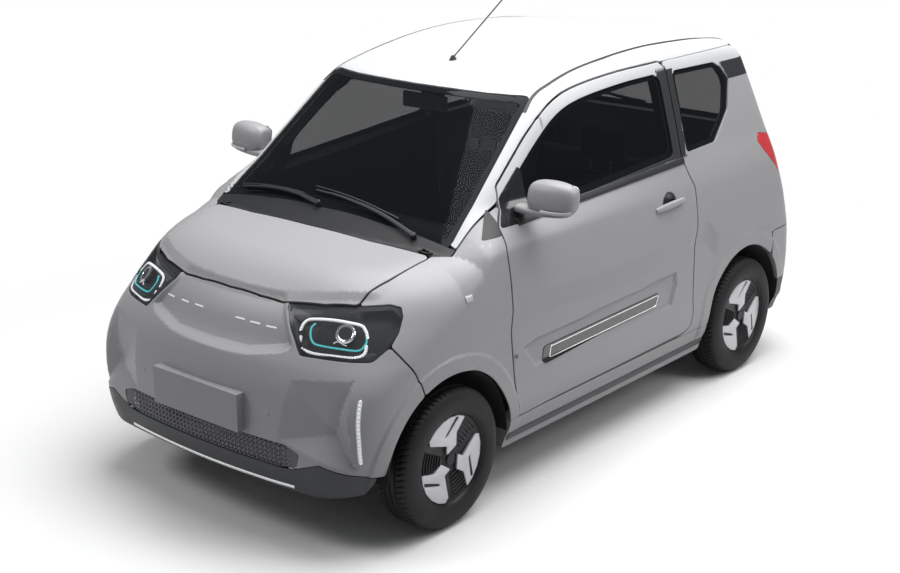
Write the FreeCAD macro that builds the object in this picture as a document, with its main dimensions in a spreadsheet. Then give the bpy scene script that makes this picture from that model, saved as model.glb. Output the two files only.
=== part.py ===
import FreeCAD, Part
import Sketcher
import math
import os

# Microcar: a three-door, four-wheel city car in millimetres.
# X is across the car with +X at the driver's left, Y runs from the nose (-Y) to the tail (+Y),
# Z is up from the floor that the tyres stand on. The origin is under the middle of the car.

Vector = FreeCAD.Vector
doc = FreeCAD.newDocument("microcar")
sheet = doc.addObject("Spreadsheet::Sheet", "sizes")

SIZES = [
    ("wheelbase", 2060),
    ("front_overhang", 555),
    ("rear_overhang", 475),
    ("body_width", 1490),
    ("roof_height", 1566),
    ("belt_height", 1090),
    ("panel_gap", 6),
    ("panel_depth", 26),
    ("door_depth", 60),
    ("glass_depth", 4),
    ("glass_gap", 0.3),
    ("tyre_radius", 266),
    ("tyre_width", 155),
    ("rim_radius", 172),
    ("rim_wall", 10),
    ("wheel_plane", 660),
    ("hub_bore_radius", 12),
    ("axle_clearance", 0.05),
    ("arch_radius", 330),
    ("arch_wall", 4),
    ("kingpin_x", 600),
    ("flare_width", 66),
    ("flare_step", 7),
    ("crest_height", 760),
    ("tuck_depth", 14),
    ("pocket_depth", 12),
    ("mask_depth", 20),
    ("facet_depth", 30),
    ("bonnet_crease", 6),
    ("door_hinge_x", 734),
    ("door_hinge_y", -628),
    ("hinge_pin_radius", 3),
    ("hinge_clearance", 0.05),
    ("door_flange", 16),
    ("door_rebate", 16),
    ("floor_height", 262),
    ("floor_depth", 8),
    ("battery_height", 95),
    ("battery_width", 900),
    ("battery_length", 1000),
    ("motor_width", 340),
    ("motor_length", 157.7),
    ("motor_height", 168),
    ("beam_radius", 32),
    ("hub_reach", 700),
    ("kingpin_radius", 14),
    ("hub_flange_radius", 40),
    ("floor_width", 1280),
    ("dash_width", 1180),
    ("steering_wheel_radius", 182),
    ("steering_rim", 13),
    ("seat_width", 470),
    ("aerial_length", 330),
    ("aerial_radius", 3),
    ("plate_width", 440),
    ("plate_height", 140),
]

for row, (name, number) in enumerate(SIZES, start=1):
    sheet.set("A%d" % row, name)
    sheet.set("B%d" % row, str(number))
    sheet.setAlias("B%d" % row, name)
doc.recompute()


def size(name):
    return float(sheet.get(name))


HALF_LENGTH = (size("wheelbase") + size("front_overhang") + size("rear_overhang")) / 2
FRONT_AXLE = -HALF_LENGTH + size("front_overhang")
REAR_AXLE = FRONT_AXLE + size("wheelbase")
AXLE_HEIGHT = size("tyre_radius")
HALF_WIDTH = size("body_width") / 2
ROOF = size("roof_height")
BELT = size("belt_height")
GAP = size("panel_gap")
DEPTH = size("panel_depth")
GLASS = size("glass_depth")
SEAT_GAP = size("glass_gap")


# Body surface. Every outer panel lies on one smooth surface, given here as a function that is
# negative inside the car, zero on its skin and grows about as the distance from it.

def curve(table, value):
    """A smooth curve through the (place, amount) rows of a table."""
    count = len(table)
    spot = 0
    while spot < count - 2 and value > table[spot + 1][0]:
        spot += 1
    (x0, y0), (x1, y1) = table[spot], table[spot + 1]
    span = x1 - x0
    slope = (y1 - y0) / span
    if value < x0:
        return y0 + slope * (value - x0)
    if value > x1:
        return y1 + slope * (value - x1)
    before = (y0 - table[spot - 1][1]) / (x0 - table[spot - 1][0]) if spot > 0 else slope
    after = (table[spot + 2][1] - y1) / (table[spot + 2][0] - x1) if spot + 2 < count else slope
    start = (slope + before) / 2 if slope * before > 0 else 0.0
    end = (slope + after) / 2 if slope * after > 0 else 0.0
    if spot == 0:
        start = slope
    if spot + 2 >= count:
        end = slope
    part = (value - x0) / span
    return ((2 * part ** 3 - 3 * part ** 2 + 1) * y0 + (part ** 3 - 2 * part ** 2 + part) * span * start
            + (3 * part ** 2 - 2 * part ** 3) * y1 + (part ** 3 - part ** 2) * span * end)


def blend(first, second, reach):
    """The larger of two amounts, rounded where they are within reach of each other."""
    near = max(reach - abs(first - second), 0.0) / reach
    return max(first, second) + near * near * reach / 4


# Half width at each height, taken in from the widest line by the second number.
SIDE = [(z, HALF_WIDTH - inset) for z, inset in (
    (150, 60), (220, 40), (300, 17), (400, 5), (600, 1), (765, 0), (950, 17), (1030, 37),
    (BELT, 55), (BELT + 110, 83), (ROOF - 116, 151), (ROOF - 6, 185))]
# How far the nose and the tail reach past their axles at each height.
NOSE = [(z, size("front_overhang") - inset) for z, inset in (
    (150, 75), (220, 50), (300, 30), (450, 23), (580, 31), (660, 55), (720, 85), (780, 111),
    (850, 148), (930, 195), (1000, 255))]
TAIL = [(z, size("rear_overhang") - inset) for z, inset in (
    (150, 35), (220, 13), (300, 1), (500, 5), (620, 20), (700, 47), (900, 115), (1060, 172),
    (1300, 272), (ROOF - 76, 360), (ROOF + 34, 415))]
NOSE_BOW = [(250, 0.00012), (500, 0.00018), (600, 0.00025), (720, 0.00033), (870, 0.00038)]
TAIL_BOW = 0.00004
NOSE_CORNER = [(250, 180), (450, 150), (590, 130), (720, 200), (800, 280), (900, 300)]
TAIL_CORNER = [(300, 80), (700, 90), (900, 115), (1100, 120), (1500, 80)]
HOOD_LINE = [(-420, 868), (-300, 925), (-150, 965), (0, 990), (150, 1008), (400, 1030)]
HOOD_CROWN = 0.0001
SCREEN_FOOT_Y = FRONT_AXLE + 150
SCREEN_FOOT_Z = 988
SCREEN_SLOPE = 0.752
SCREEN_CROWN = 0.00027
SCREEN_FOOT_X = 591
ROOF_PEAK_Y = 510
ROOF_FALL_FRONT = 0.0001567
ROOF_FALL_REAR = 0.00012
ROOF_CROWN = 0.0001
CABIN_TAPER = 75


def side_line(y, z):
    """Half width of the car at a station and a height."""
    wide = curve(SIDE, z)
    along = abs(y) / HALF_LENGTH
    wide *= 1 - (0.08 if y < 0 else 0.03) * along ** 4
    rise = min(max((z - BELT + 130) / 160, 0), 1)
    rise = rise * rise * (3 - 2 * rise)
    lead = max(ROOF_PEAK_Y - y, 0) / 1100
    return wide - CABIN_TAPER * lead ** 1.3 * rise


def top_line(x, y):
    """Height of the bonnet, windscreen and roof over a point of the plan."""
    screen = (SCREEN_FOOT_Z + SCREEN_SLOPE * (y - SCREEN_FOOT_Y)
              + SCREEN_CROWN * (SCREEN_FOOT_X ** 2 - x * x))
    bonnet = curve(HOOD_LINE, y - FRONT_AXLE) - HOOD_CROWN * x * x
    back = y - ROOF_PEAK_Y
    fall = ROOF_FALL_FRONT if back < 0 else ROOF_FALL_REAR
    roof = ROOF - fall * back * back - ROOF_CROWN * x * x
    return -blend(-max(screen, bonnet), -roof, 30)


def shoulder_reach(y):
    """Size of the rounding between the side and the top at a station."""
    past = y - FRONT_AXLE
    if past < 60:
        return 150
    if past < 650:
        return 150 - 90 * min((past - 60) / 150, 1)
    return 60 + 30 * min((past - 650) / 100, 1) - 30 * min(max((past - 1700) / 300, 0), 1)


def bare_skin(x, y, z):
    x = abs(x)
    side = x - side_line(y, z)
    nose = FRONT_AXLE - y - (curve(NOSE, z) - curve(NOSE_BOW, z) * x * x)
    tail = y - REAR_AXLE - (curve(TAIL, z) - TAIL_BOW * x * x)
    total = blend(side, 0.93 * nose, curve(NOSE_CORNER, z))
    total = blend(total, 0.93 * tail, curve(TAIL_CORNER, z))
    past = y - FRONT_AXLE
    lean = 0.8 if 150 < past < 700 and z > 1000 else 0.97
    return blend(total, lean * (z - top_line(x, y)), shoulder_reach(y))


def smooth(part):
    part = min(max(part, 0.0), 1.0)
    return part * part * (3 - 2 * part)


def depth_inside(loop, a, b):
    """How far a point lies inside a closed outline, negative outside it."""
    inside = False
    near = 1e9
    for (a0, b0), (a1, b1) in zip(loop, loop[1:] + loop[:1]):
        da, db = a1 - a0, b1 - b0
        share = min(max(((a - a0) * da + (b - b0) * db) / (da * da + db * db), 0.0), 1.0)
        near = min(near, math.hypot(a - a0 - share * da, b - b0 - share * db))
        if (b0 > b) != (b1 > b) and a < a0 + (b - b0) * da / db:
            inside = not inside
    return near if inside else -near


def plate(corners):
    """Depth of a flat facet over the front view, from its (x, z, depth) corners."""
    (x0, z0, d0), (x1, z1, d1), (x2, z2, d2) = corners
    area = (x1 - x0) * (z2 - z0) - (x2 - x0) * (z1 - z0)
    a = ((d1 - d0) * (z2 - z0) - (d2 - d0) * (z1 - z0)) / area
    b = ((x1 - x0) * (d2 - d0) - (x2 - x0) * (d1 - d0)) / area
    return a, b, d0 - a * x0 - b * z0


# Pressed forms: wheel flares, the crest and the tuck under it along the doors, the pocket round the
# side moulding, the mask between the lamps, the corner facets and the bonnet's front crease.
FLARE_WIDTH = size("flare_width")
FLARE_STEP = size("flare_step")
CREST_HEIGHT = size("crest_height")
CREST = [(y, CREST_HEIGHT + rise) for y, rise in (
    (-900, -146), (-871, -129), (-660, -7), (-70, 2), (562, 24), (603, 37), (690, 35), (740, 0), (793, -49),
    (900, -54), (1243, -36))]
POCKET = [(-585, 578), (-520, 590), (474, 617), (486, 560), (450, 468), (-505, 474)]
MASK = [(-200, 662), (190, 672), (330, 700), (372, 722), (285, 835), (262, 880), (-200, 880)]
FACET_APEX = (590, 468, size("facet_depth"))
FACET_RIM = [(622, 655, 0), (372, 418, 0), (668, 352, 0)]
FACETS = [plate([FACET_RIM[i], FACET_RIM[j], FACET_APEX]) for i, j in ((0, 1), (0, 2), (1, 2))]


def stamping(x, y, z):
    """How far the pressed forms stand out of the bare skin."""
    x = abs(x)
    amount = 0.0
    sideways = smooth((x - 560) / 70)
    if sideways:
        for axle in (FRONT_AXLE, REAR_AXLE):
            away = math.hypot(y - axle, z - AXLE_HEIGHT) - size("arch_radius")
            amount += FLARE_STEP * smooth((FLARE_WIDTH - away) / 12) * smooth((z - 230) / 60)
        if -940 < y < 1360:
            below = curve(CREST, y) - z - 3
            tuck = min(0.15 * max(below, 0.0), size("tuck_depth")) * smooth((z - 330) / 150)
            amount -= tuck * smooth((y + 935) / 50) * (1 - smooth((y - 1150) / 200))
        if -600 < y < 500 and 450 < z < 630:
            amount -= size("pocket_depth") * smooth(depth_inside(POCKET, y, z) / 15)
        amount *= sideways
    if y < -1000:
        front = smooth((-1000 - y) / 120)
        if x < 400 and 650 < z < 890:
            low = 1 - smooth((z - 700) / 170)
            amount -= size("mask_depth") * smooth(depth_inside(MASK, x, z) / 26) * (0.25 + 0.75 * low) * front
        if 370 < x < 670 and 350 < z < 660:
            amount -= max(min(a * x + b * z + c for a, b, c in FACETS), 0.0) * front
        if z > 815 and x < 570:
            off = y - (-1341 + 152 * (x / 515) ** 2)
            ridge = 1 + off / 45 if off < 0 else 1 - off / 200
            amount += (size("bonnet_crease") * max(min(ridge, 1.0), 0.0) * smooth((z - 815) / 30)
                       * (1 - smooth((x - 520) / 50)) * front)
    return amount


RAY_REACH = 1400.0


def meet(start, way, depth, pressed=True):
    """The point along a line from inside the car that lies depth below the skin."""
    def over(reach):
        return bare_skin(*[start[i] + way[i] * reach for i in range(3)]) + depth

    low, high = 0.0, RAY_REACH
    for step in range(7):
        middle = (low + high) / 2
        if over(middle) > 0:
            high = middle
        else:
            low = middle
    first, last = over(low), over(high)
    for step in range(6):
        middle = low - first * (high - low) / (last - first)
        value = over(middle)
        if abs(value) < 0.005:
            break
        if value > 0:
            high, last = middle, value
        else:
            low, first = middle, value
    slope = (last - first) / max(high - low, 1e-6) if high - low > 0.5 else (over(middle + 1) - over(middle - 1)) / 2
    if pressed:
        for step in range(3):
            spot = [start[i] + way[i] * middle for i in range(3)]
            lift = stamping(*spot)
            if not lift and not step:
                break
            middle -= (over(middle) - lift) / slope
    return Vector(*[start[i] + way[i] * middle for i in range(3)])


def steps(low, high, count):
    return [low + (high - low) * i / (count - 1) for i in range(count)]


def slab(ray, us, vs, outer, inner, inner_pressed=True):
    """A curved plate between two depths below the skin, over a grid of lines."""
    def surface(depth, pressed):
        spline = Part.BSplineSurface()
        spline.interpolate([[meet(*ray(u, v), depth, pressed) for v in vs] for u in us])
        return spline

    top, bottom = surface(outer, True), surface(inner, inner_pressed)
    faces = [top.toShape(), bottom.toShape()]
    a0, a1, b0, b1 = top.bounds()
    c0, c1, d0, d1 = bottom.bounds()
    for first, second in ((top.uIso(a0), bottom.uIso(c0)), (top.uIso(a1), bottom.uIso(c1)),
                          (top.vIso(b0), bottom.vIso(d0)), (top.vIso(b1), bottom.vIso(d1))):
        faces.append(Part.makeRuledSurface(first.toShape(), second.toShape()))
    shell = Part.makeShell(faces)
    shell.sewShape()
    solid = Part.makeSolid(shell)
    if solid.Volume < 0:
        solid.reverse()
    return solid


def arch_slab(y0, y1, a0, a1, outer, inner, ny=40, na=30, x=0.0, z=620.0, angles=None, inner_pressed=True):
    """Plate over the car, its lines fanning out from a line along the car."""
    def ray(y, angle):
        turn = math.radians(angle)
        return (x, y, z), (math.cos(turn), 0.0, math.sin(turn))
    return slab(ray, steps(y0, y1, ny), angles or steps(a0, a1, na), outer, inner, inner_pressed)


def post_slab(a0, a1, z0, z1, outer, inner, y, na=40, nz=20, x=0.0, inner_pressed=True):
    """Plate round one end of the car, its lines fanning out from an upright line."""
    def ray(angle, z):
        turn = math.radians(angle)
        return (x, y, z), (math.cos(turn), math.sin(turn), 0.0)
    return slab(ray, steps(a0, a1, na), steps(z0, z1, nz), outer, inner, inner_pressed)


def wire(points, place, radius=0):
    """A closed outline with its corners rounded."""
    flat = [Vector(a, b, 0) for a, b in points]
    count = len(flat)
    edges = []
    ends = []
    for i in range(count):
        corner, before, after = flat[i], flat[i - 1], flat[(i + 1) % count]
        back, ahead = (before - corner), (after - corner)
        turn = back.getAngle(ahead)
        reach = radius / math.tan(turn / 2) if radius else 0
        reach = min(reach, 0.45 * back.Length, 0.45 * ahead.Length)
        if reach < 0.5 or turn > math.pi - 0.02:
            ends.append((corner, corner, None))
            continue
        first = corner + back.normalize() * reach
        last = corner + ahead.normalize() * reach
        middle = (first + last) / 2
        round_radius = reach * math.tan(turn / 2)
        centre = corner + (middle - corner).normalize() * math.hypot(round_radius, reach)
        top = centre + (corner - centre).normalize() * round_radius
        ends.append((first, last, top))
    for i in range(count):
        first, last, top = ends[i]
        if top is not None:
            edges.append(Part.Arc(place(first), place(top), place(last)).toShape())
        following = ends[(i + 1) % count][0]
        if (following - last).Length > 0.01:
            edges.append(Part.LineSegment(place(last), place(following)).toShape())
    return Part.Wire(edges)


def side_prism(points, radius=0, grow=0.0, x0=100.0, x1=900.0):
    """A block across the left side of the car with an outline drawn in the side view."""
    outline = wire(points, lambda p: Vector(x0, p.x, p.y), radius)
    if grow:
        outline = outline.makeOffset2D(grow)
    return Part.Face(outline).extrude(Vector(x1 - x0, 0, 0))


def plan_prism(points, radius=0, grow=0.0, z0=100.0, z1=1700.0):
    """An upright block with an outline drawn in the plan."""
    outline = wire(points, lambda p: Vector(p.x, p.y, z0), radius)
    if grow:
        outline = outline.makeOffset2D(grow)
    return Part.Face(outline).extrude(Vector(0, 0, z1 - z0))


def front_prism(points, y0, y1, radius=0, grow=0.0):
    """A block along the car with an outline drawn in the front view."""
    outline = wire(points, lambda p: Vector(p.x, y0, p.y), radius)
    if grow:
        outline = outline.makeOffset2D(grow)
    return Part.Face(outline).extrude(Vector(0, y1 - y0, 0))


def box(x0, x1, y0, y1, z0, z1):
    return Part.makeBox(x1 - x0, y1 - y0, z1 - z0, Vector(x0, y0, z0))


def disc(radius, x0, x1, y, z):
    """A cylinder across the car."""
    return Part.makeCylinder(radius, x1 - x0, Vector(x0, y, z), Vector(1, 0, 0))


def mirrored(shape):
    return shape.mirror(Vector(0, 0, 0), Vector(1, 0, 0))


def both(shape):
    """A left piece and its twin on the right."""
    return Part.makeCompound([shape, mirrored(shape)])


pieces = []


class Measure:
    """A length worked out from one named size: its text for an expression, and its amount."""
    def __init__(self, name, share=1.0, more=0.0):
        self.text = "sizes.%s * %s + %s" % (name, share, more)
        self.amount = size(name) * share + more


def amount(value):
    """The number behind a measure or a plain number."""
    return value.amount if isinstance(value, Measure) else value


def bind(item, **values):
    """Gives a document object its measures, tied to the sheet where they are named sizes."""
    for name, value in values.items():
        if isinstance(value, Measure):
            item.setExpression(name.replace("__", "."), value.text)
        else:
            *path, last = name.split("__")
            if path:
                place = item.Placement
                setattr(place.Base, last, value)
                item.Placement = place
            else:
                setattr(item, last, value)


def solid(kind, label, place=(0, 0, 0), turn=None, **values):
    """A primitive with its corner or its foot at a place."""
    item = doc.addObject("Part::" + kind, label)
    if turn:
        item.Placement = FreeCAD.Placement(Vector(0, 0, 0), FreeCAD.Rotation(Vector(*turn[0]), turn[1]))
    bind(item, **dict(zip(("Placement__Base__x", "Placement__Base__y", "Placement__Base__z"), place)))
    bind(item, **values)
    return item


def across(label, x, y, z, radius, length):
    """A round bar lying across the car."""
    return solid("Cylinder", label, (x, y, z), ((0, 1, 0), 90), Radius=radius, Height=length)


def fused(label, parts):
    item = doc.addObject("Part::MultiFuse", label)
    item.Shapes = parts
    return made(item)


def made(item):
    doc.recompute()
    pieces.append(item)
    return item


def sketch(body, label, plane, rows, out=0):
    """A closed outline of straight lines whose corners are tied to sizes where they are measures."""
    item = body.newObject("Sketcher::SketchObject", label)
    item.AttachmentSupport = [(body.Origin.OriginFeatures[plane], "")]
    item.MapMode = "FlatFace"
    item.AttachmentOffset = FreeCAD.Placement(Vector(0, 0, out), FreeCAD.Rotation())
    spots = [Vector(amount(a), amount(b), 0) for a, b in rows]
    count = len(spots)
    for i in range(count):
        item.addGeometry(Part.LineSegment(spots[i], spots[(i + 1) % count]), False)
    for i in range(count):
        item.addConstraint(Sketcher.Constraint("Coincident", i, 2, (i + 1) % count, 1))
    for i, row in enumerate(rows):
        for way, value in zip(("DistanceX", "DistanceY"), row):
            ends = (-1, 1, i, 1) if amount(value) >= 0 else (i, 1, -1, 1)
            spot = item.addConstraint(Sketcher.Constraint(way, *ends, abs(amount(value))))
            if isinstance(value, Measure):
                item.setExpression("Constraints[%d]" % spot, value.text if amount(value) >= 0 else "-(%s)" % value.text)
    return item


def pad(body, label, rows, length, radius=0):
    """A pad across the car from a side view outline, its long edges rounded."""
    item = body.newObject("PartDesign::Pad", label)
    item.Profile = sketch(body, label + "_outline", YZ_PLANE, rows)
    bind(item, Length=length)
    item.SideType = "Symmetric"
    body.Tip = item
    if radius:
        doc.recompute()
        ends = [amount(a) for a, b in rows]
        long_edges = []
        for i, edge in enumerate(item.Shape.Edges):
            way = edge.Vertexes[-1].Point - edge.Vertexes[0].Point
            full = abs(abs(way.x) - amount(length)) < 0.1 and way.Length < abs(way.x) + 0.1
            if full and any(abs(edge.Vertexes[0].Y - y) < 0.01 for y in ends):
                long_edges.append("Edge%d" % (i + 1))
        soft = body.newObject("PartDesign::Fillet", label + "_rounding")
        soft.Base = (item, long_edges)
        soft.Radius = radius
        body.Tip = soft
    return body.Tip


XY_PLANE, XZ_PLANE, YZ_PLANE = 3, 4, 5


def normal(x, y, z):
    """The way straight out of the body at a point."""
    return Vector(*[bare_skin(x + a, y + b, z + c) - bare_skin(x - a, y - b, z - c)
                    for a, b, c in ((1, 0, 0), (0, 1, 0), (0, 0, 1))]).normalize()


def keep(label, shape):
    """Store one sub-part of the car in the document."""
    item = doc.addObject("Part::Feature", label)
    item.Label = label
    item.Shape = shape
    pieces.append(item)
    return item


# Shutlines, drawn in the side view as (y, z) for the left side.
DOOR = [(-601, 312), (-618, 379), (-655, 640), (-672, 800), (-682, 960), (-655, 1040), (-600, 1085),
        (-577, 1162), (-474, 1242), (-352, 1333), (-221, 1406), (-77, 1446), (182, 1472), (490, 1480),
        (526, 1450), (533, 1088), (556, 1026), (591, 959), (604, 770), (623, 406), (600, 340),
        (545, 325), (-411, 319)]
DOOR_WINDOW = [(-500, 1045), (-495, 1175), (-458, 1206), (-327, 1299), (-200, 1370), (-52, 1408),
               (215, 1432), (438, 1438), (472, 1415), (480, 1105), (-470, 1045)]
QUARTER_WINDOW = [(572, 1436), (905, 1430), (960, 1402), (1010, 1345), (960, 1225), (815, 1110), (580, 1102)]
BUMPER_LINE = [(-1290, 100), (-1140, 560), (-1175, 640), (-1215, 700), (-1290, 850), (-1400, 1100), (-1700, 1100), (-1700, 100)]
front_arch = disc(size("arch_radius"), 100, 900, FRONT_AXLE, AXLE_HEIGHT)
rear_arch = disc(size("arch_radius"), 100, 900, REAR_AXLE, AXLE_HEIGHT)
door_hole = side_prism(DOOR, 12, GAP)
SILL_TOP = 312

DOOR_INNER_X = 520

# Doors: outer skin and inner trim as one shell, with the window cut out.
DOOR_ANGLES = steps(-26, -14, 6)[:-1] + steps(-14, 14, 34) + steps(14, 66, 22)[1:]
door_shell = arch_slab(-720, 660, -26, 66, size("door_flange") - 4, size("door_depth"), 44, 0, angles=DOOR_ANGLES,
                       inner_pressed=False)
door_flange = arch_slab(-720, 660, -26, 66, 0, size("door_flange"), 44, 0, angles=DOOR_ANGLES)
door_left = door_shell.common(side_prism(DOOR, 12, -size("door_rebate"), DOOR_INNER_X))
door_left = door_left.fuse(door_flange.common(side_prism(DOOR, 12, 0, DOOR_INNER_X)))
door_left = door_left.cut(side_prism(DOOR_WINDOW, 25))
HINGE_X, HINGE_Y = size("door_hinge_x"), size("door_hinge_y")
HINGE_HEIGHTS = (550, 730)
HINGE_LEAF = 12
HINGE_EYE = 5.5
for height in HINGE_HEIGHTS:
    pocket = box(500, HINGE_X + HINGE_EYE + 0.5, -760, HINGE_Y + HINGE_EYE + 2, height - SEAT_GAP,
                 height + HINGE_LEAF + SEAT_GAP)
    door_left = door_left.cut(pocket)
    door_left = door_left.fuse(Part.makeCylinder(size("hinge_pin_radius"), HINGE_LEAF + 8,
                                                 Vector(HINGE_X, HINGE_Y, height - 4)))
door_left = door_left.cut(box(600, HINGE_X - 4, -645, -590, 290, 450))
HANDLE_Y, HANDLE_Z = 390, 923
cup = disc(52, 716, 800, HANDLE_Y, HANDLE_Z + 2).cut(box(700, 810, 300, 500, 800, HANDLE_Z + 2))
door_left = door_left.cut(cup)
door_left = max(door_left.Solids, key=lambda solid: solid.Volume)
door_glass = arch_slab(-560, 540, 20, 66, 8, 8 + GLASS, 30, 24).common(
    side_prism(DOOR_WINDOW, 25, -SEAT_GAP))
keep("door_left", door_left)
keep("door_right", mirrored(door_left))
keep("door_glass_left", door_glass)
keep("door_glass_right", mirrored(door_glass))

# Mirrors: a foot at the front corner of the window and a rounded head.
mirror_foot = box(640, 760, -548, -500, 1074, 1100)
mirror_head = box(700, 888, -545, -459, 1084, 1200)
mirror_head = mirror_head.makeFillet(26, mirror_head.Edges)
mirror_left = mirror_foot.fuse(mirror_head).cut(door_left).cut(door_glass)
mirror_left = max(mirror_left.Solids, key=lambda s: s.Volume)
keep("mirror_left", mirror_left)
keep("mirror_right", mirrored(mirror_left))

# Door trim: the pull handle and the side moulding.
handle = box(719, 750, HANDLE_Y - 108, HANDLE_Y + 108, HANDLE_Z - 11, HANDLE_Z + 11)
handle = handle.makeFillet(8, handle.Edges).cut(door_left)
handle = max(handle.Solids, key=lambda solid: solid.Volume)
moulding = arch_slab(-480, 380, -14, 0, -6, 0, 20, 6).common(
    side_prism([(-455, 475), (-444, 541), (361, 553), (339, 493)], 8)).cut(door_left)
moulding = max(moulding.Solids, key=lambda solid: solid.Volume)
keep("door_trim_left", Part.makeCompound([handle, moulding]))
keep("door_trim_right", mirrored(Part.makeCompound([handle, moulding])))

# Bonnet: the outline is drawn in the plan.
BONNET = [(0, -1362), (290, -1346), (410, -1302), (512, -1245), (522, -1190), (540, -1109), (556, -912),
          (300, -952), (0, -962)]
BONNET_RING = BONNET + [(-x, y) for x, y in reversed(BONNET[1:-1])]
bonnet_shell = arch_slab(-1440, -860, 20, 160, 0, DEPTH, 34, 32)
bonnet_block = plan_prism(BONNET_RING, 20, 0, 700, 1200)
HOOD_HINGE_Y, HOOD_HINGE_Z, HOOD_PIN = -897, 972, 3.5
EAR = [(-940, 940), (-922, 944), (-904, 958), (-892, 966), (-892, 977), (-902, 977), (-914, 962), (-940, 958)]
hood = bonnet_shell.common(bonnet_block)


def hood_ear(x):
    outline = wire(EAR, lambda p: Vector(x, p.x, p.y), 3)
    return Part.Face(outline).extrude(Vector(12, 0, 0)).cut(disc(HOOD_PIN + 0.3, x - 1, x + 13, HOOD_HINGE_Y, HOOD_HINGE_Z))


hood = hood.fuse(hood_ear(514)).fuse(hood_ear(-526))
bonnet_hole = plan_prism(BONNET_RING, 20, GAP, 700, 1200)
keep("hood", hood)

# Front wings: from the bumper's edge to the door, over the wheel.
LAMP = [(276, 843), (613, 863), (662, 826), (645, 706), (396, 717)]
lamp_block = front_prism(LAMP, -1700, -1000, 25)
PILLAR_FOOT_X = 612
wing_shell = arch_slab(-1330, -560, -40, 60, 0, 4, 40, 50, 300.0, 600.0)
wing = wing_shell.cut(front_arch).cut(door_hole).cut(bonnet_hole)
wing = wing.cut(side_prism(BUMPER_LINE)).cut(lamp_block)
wing = wing.cut(plan_prism([(0, -1500), (0, -500), (PILLAR_FOOT_X, -500), (PILLAR_FOOT_X, -860), (563, -906),
                            (300, -1500)]))
wing = wing.cut(box(0, 900, -700, 900, 100, SILL_TOP))
wing = max(wing.Solids, key=lambda solid: solid.Volume)
keep("front_wings", both(wing))

# Sills under the doors.
sill = arch_slab(-740, 860, -32, -20, 0, 70, 24, 6)
sill = sill.common(box(0, 900, -740, 860, 150, SILL_TOP - 0.5))
sill = sill.cut(front_arch).cut(rear_arch).cut(door_hole)
sill = max(sill.Solids, key=lambda s: s.Volume)
keep("sills", both(sill))

# Rear quarters: from the door round to the tailgate.
TAILGATE_EDGE = 560
quarter_shell = post_slab(-62, 88, 235, 1480, 0, 45, 850, 48, 70, 250.0, False)
quarter = quarter_shell.cut(rear_arch).cut(door_hole).cut(side_prism(QUARTER_WINDOW, 25))
quarter = quarter.cut(box(0, 900, -700, 860, 100, SILL_TOP))
quarter = quarter.cut(box(0, 900, -2000, 500, 100, 1700))
quarter = quarter.cut(box(0, TAILGATE_EDGE + GAP, 850, 2000, 100, 1700))
quarter = quarter.cut(box(0, 900, 1300, 2000, 100, 620))
TAIL_LAMP = [(1182, 1091), (1325, 1063), (1375, 899), (1354, 876), (1215, 1003), (1166, 1056)]
quarter = quarter.cut(side_prism(TAIL_LAMP, 10, 0, 300))
quarter = max(quarter.Solids, key=lambda s: s.Volume)
keep("quarter_panels", both(quarter))
quarter_glass = arch_slab(520, 1050, 25, 66, 8, 8 + GLASS, 20, 20).common(
    side_prism(QUARTER_WINDOW, 25, -SEAT_GAP))
keep("quarter_glass", both(quarter_glass))

# Windscreen and its frame with the pillars, the roof rails and the roof.
SCREEN = [(0, -885), (300, -872), (585, -840), (505, -262), (330, -320), (0, -352)]
SCREEN_RING = SCREEN + [(-x, y) for x, y in reversed(SCREEN[1:-1])]
ROOF_EDGE = 505
ROOF_BACK = 1120
FRAME_BACK = 1190
FRAME_LOW = 1480 + SEAT_GAP
ROOF_OUTLINE = [(-ROOF_EDGE, -200), (ROOF_EDGE, -200), (ROOF_EDGE, ROOF_BACK), (-ROOF_EDGE, ROOF_BACK)]
frame_shell = arch_slab(-900, FRAME_BACK, 28, 152, 0, 32, 52, 44)
roof_block = plan_prism(ROOF_OUTLINE, 30)
upper_frame = frame_shell.cut(plan_prism(SCREEN_RING, 25)).cut(roof_block)
upper_frame = upper_frame.cut(plan_prism([(-700, -2000), (700, -2000), (700, -834), (-700, -834)]))
upper_frame = upper_frame.cut(box(-900, 900, 1000, 2000, 100, FRAME_LOW))
for block in (door_hole, box(PILLAR_FOOT_X - GAP, 900, -2000, -560, 100, 1700),
              box(100, 900, 480, 2000, 100, FRAME_LOW)):
    upper_frame = upper_frame.cut(block).cut(mirrored(block))
for x in (-350, 338):
    upper_frame = upper_frame.cut(box(x - 6, x + 18, 1160, 1210, 1440, 1496))
    for cheek_x in (x - 12, x + 18):
        upper_frame = upper_frame.fuse(box(cheek_x, cheek_x + 6, 1172, 1188, 1474, 1500))
    upper_frame = upper_frame.fuse(disc(3.5, x - 8, x + 20, 1180, 1480))
upper_frame = max(upper_frame.Solids, key=lambda solid: solid.Volume)
keep("upper_frame", upper_frame)
roof = frame_shell.common(plan_prism(ROOF_OUTLINE, 30, -SEAT_GAP)).cut(box(-900, 900, 1000, 2000, 100, FRAME_LOW))
keep("roof_panel", roof)
screen_shell = arch_slab(-1000, -240, 25, 155, 4, 4 + 5, 24, 26)
keep("windshield", screen_shell.common(plan_prism(SCREEN_RING, 25, -SEAT_GAP)))

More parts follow.
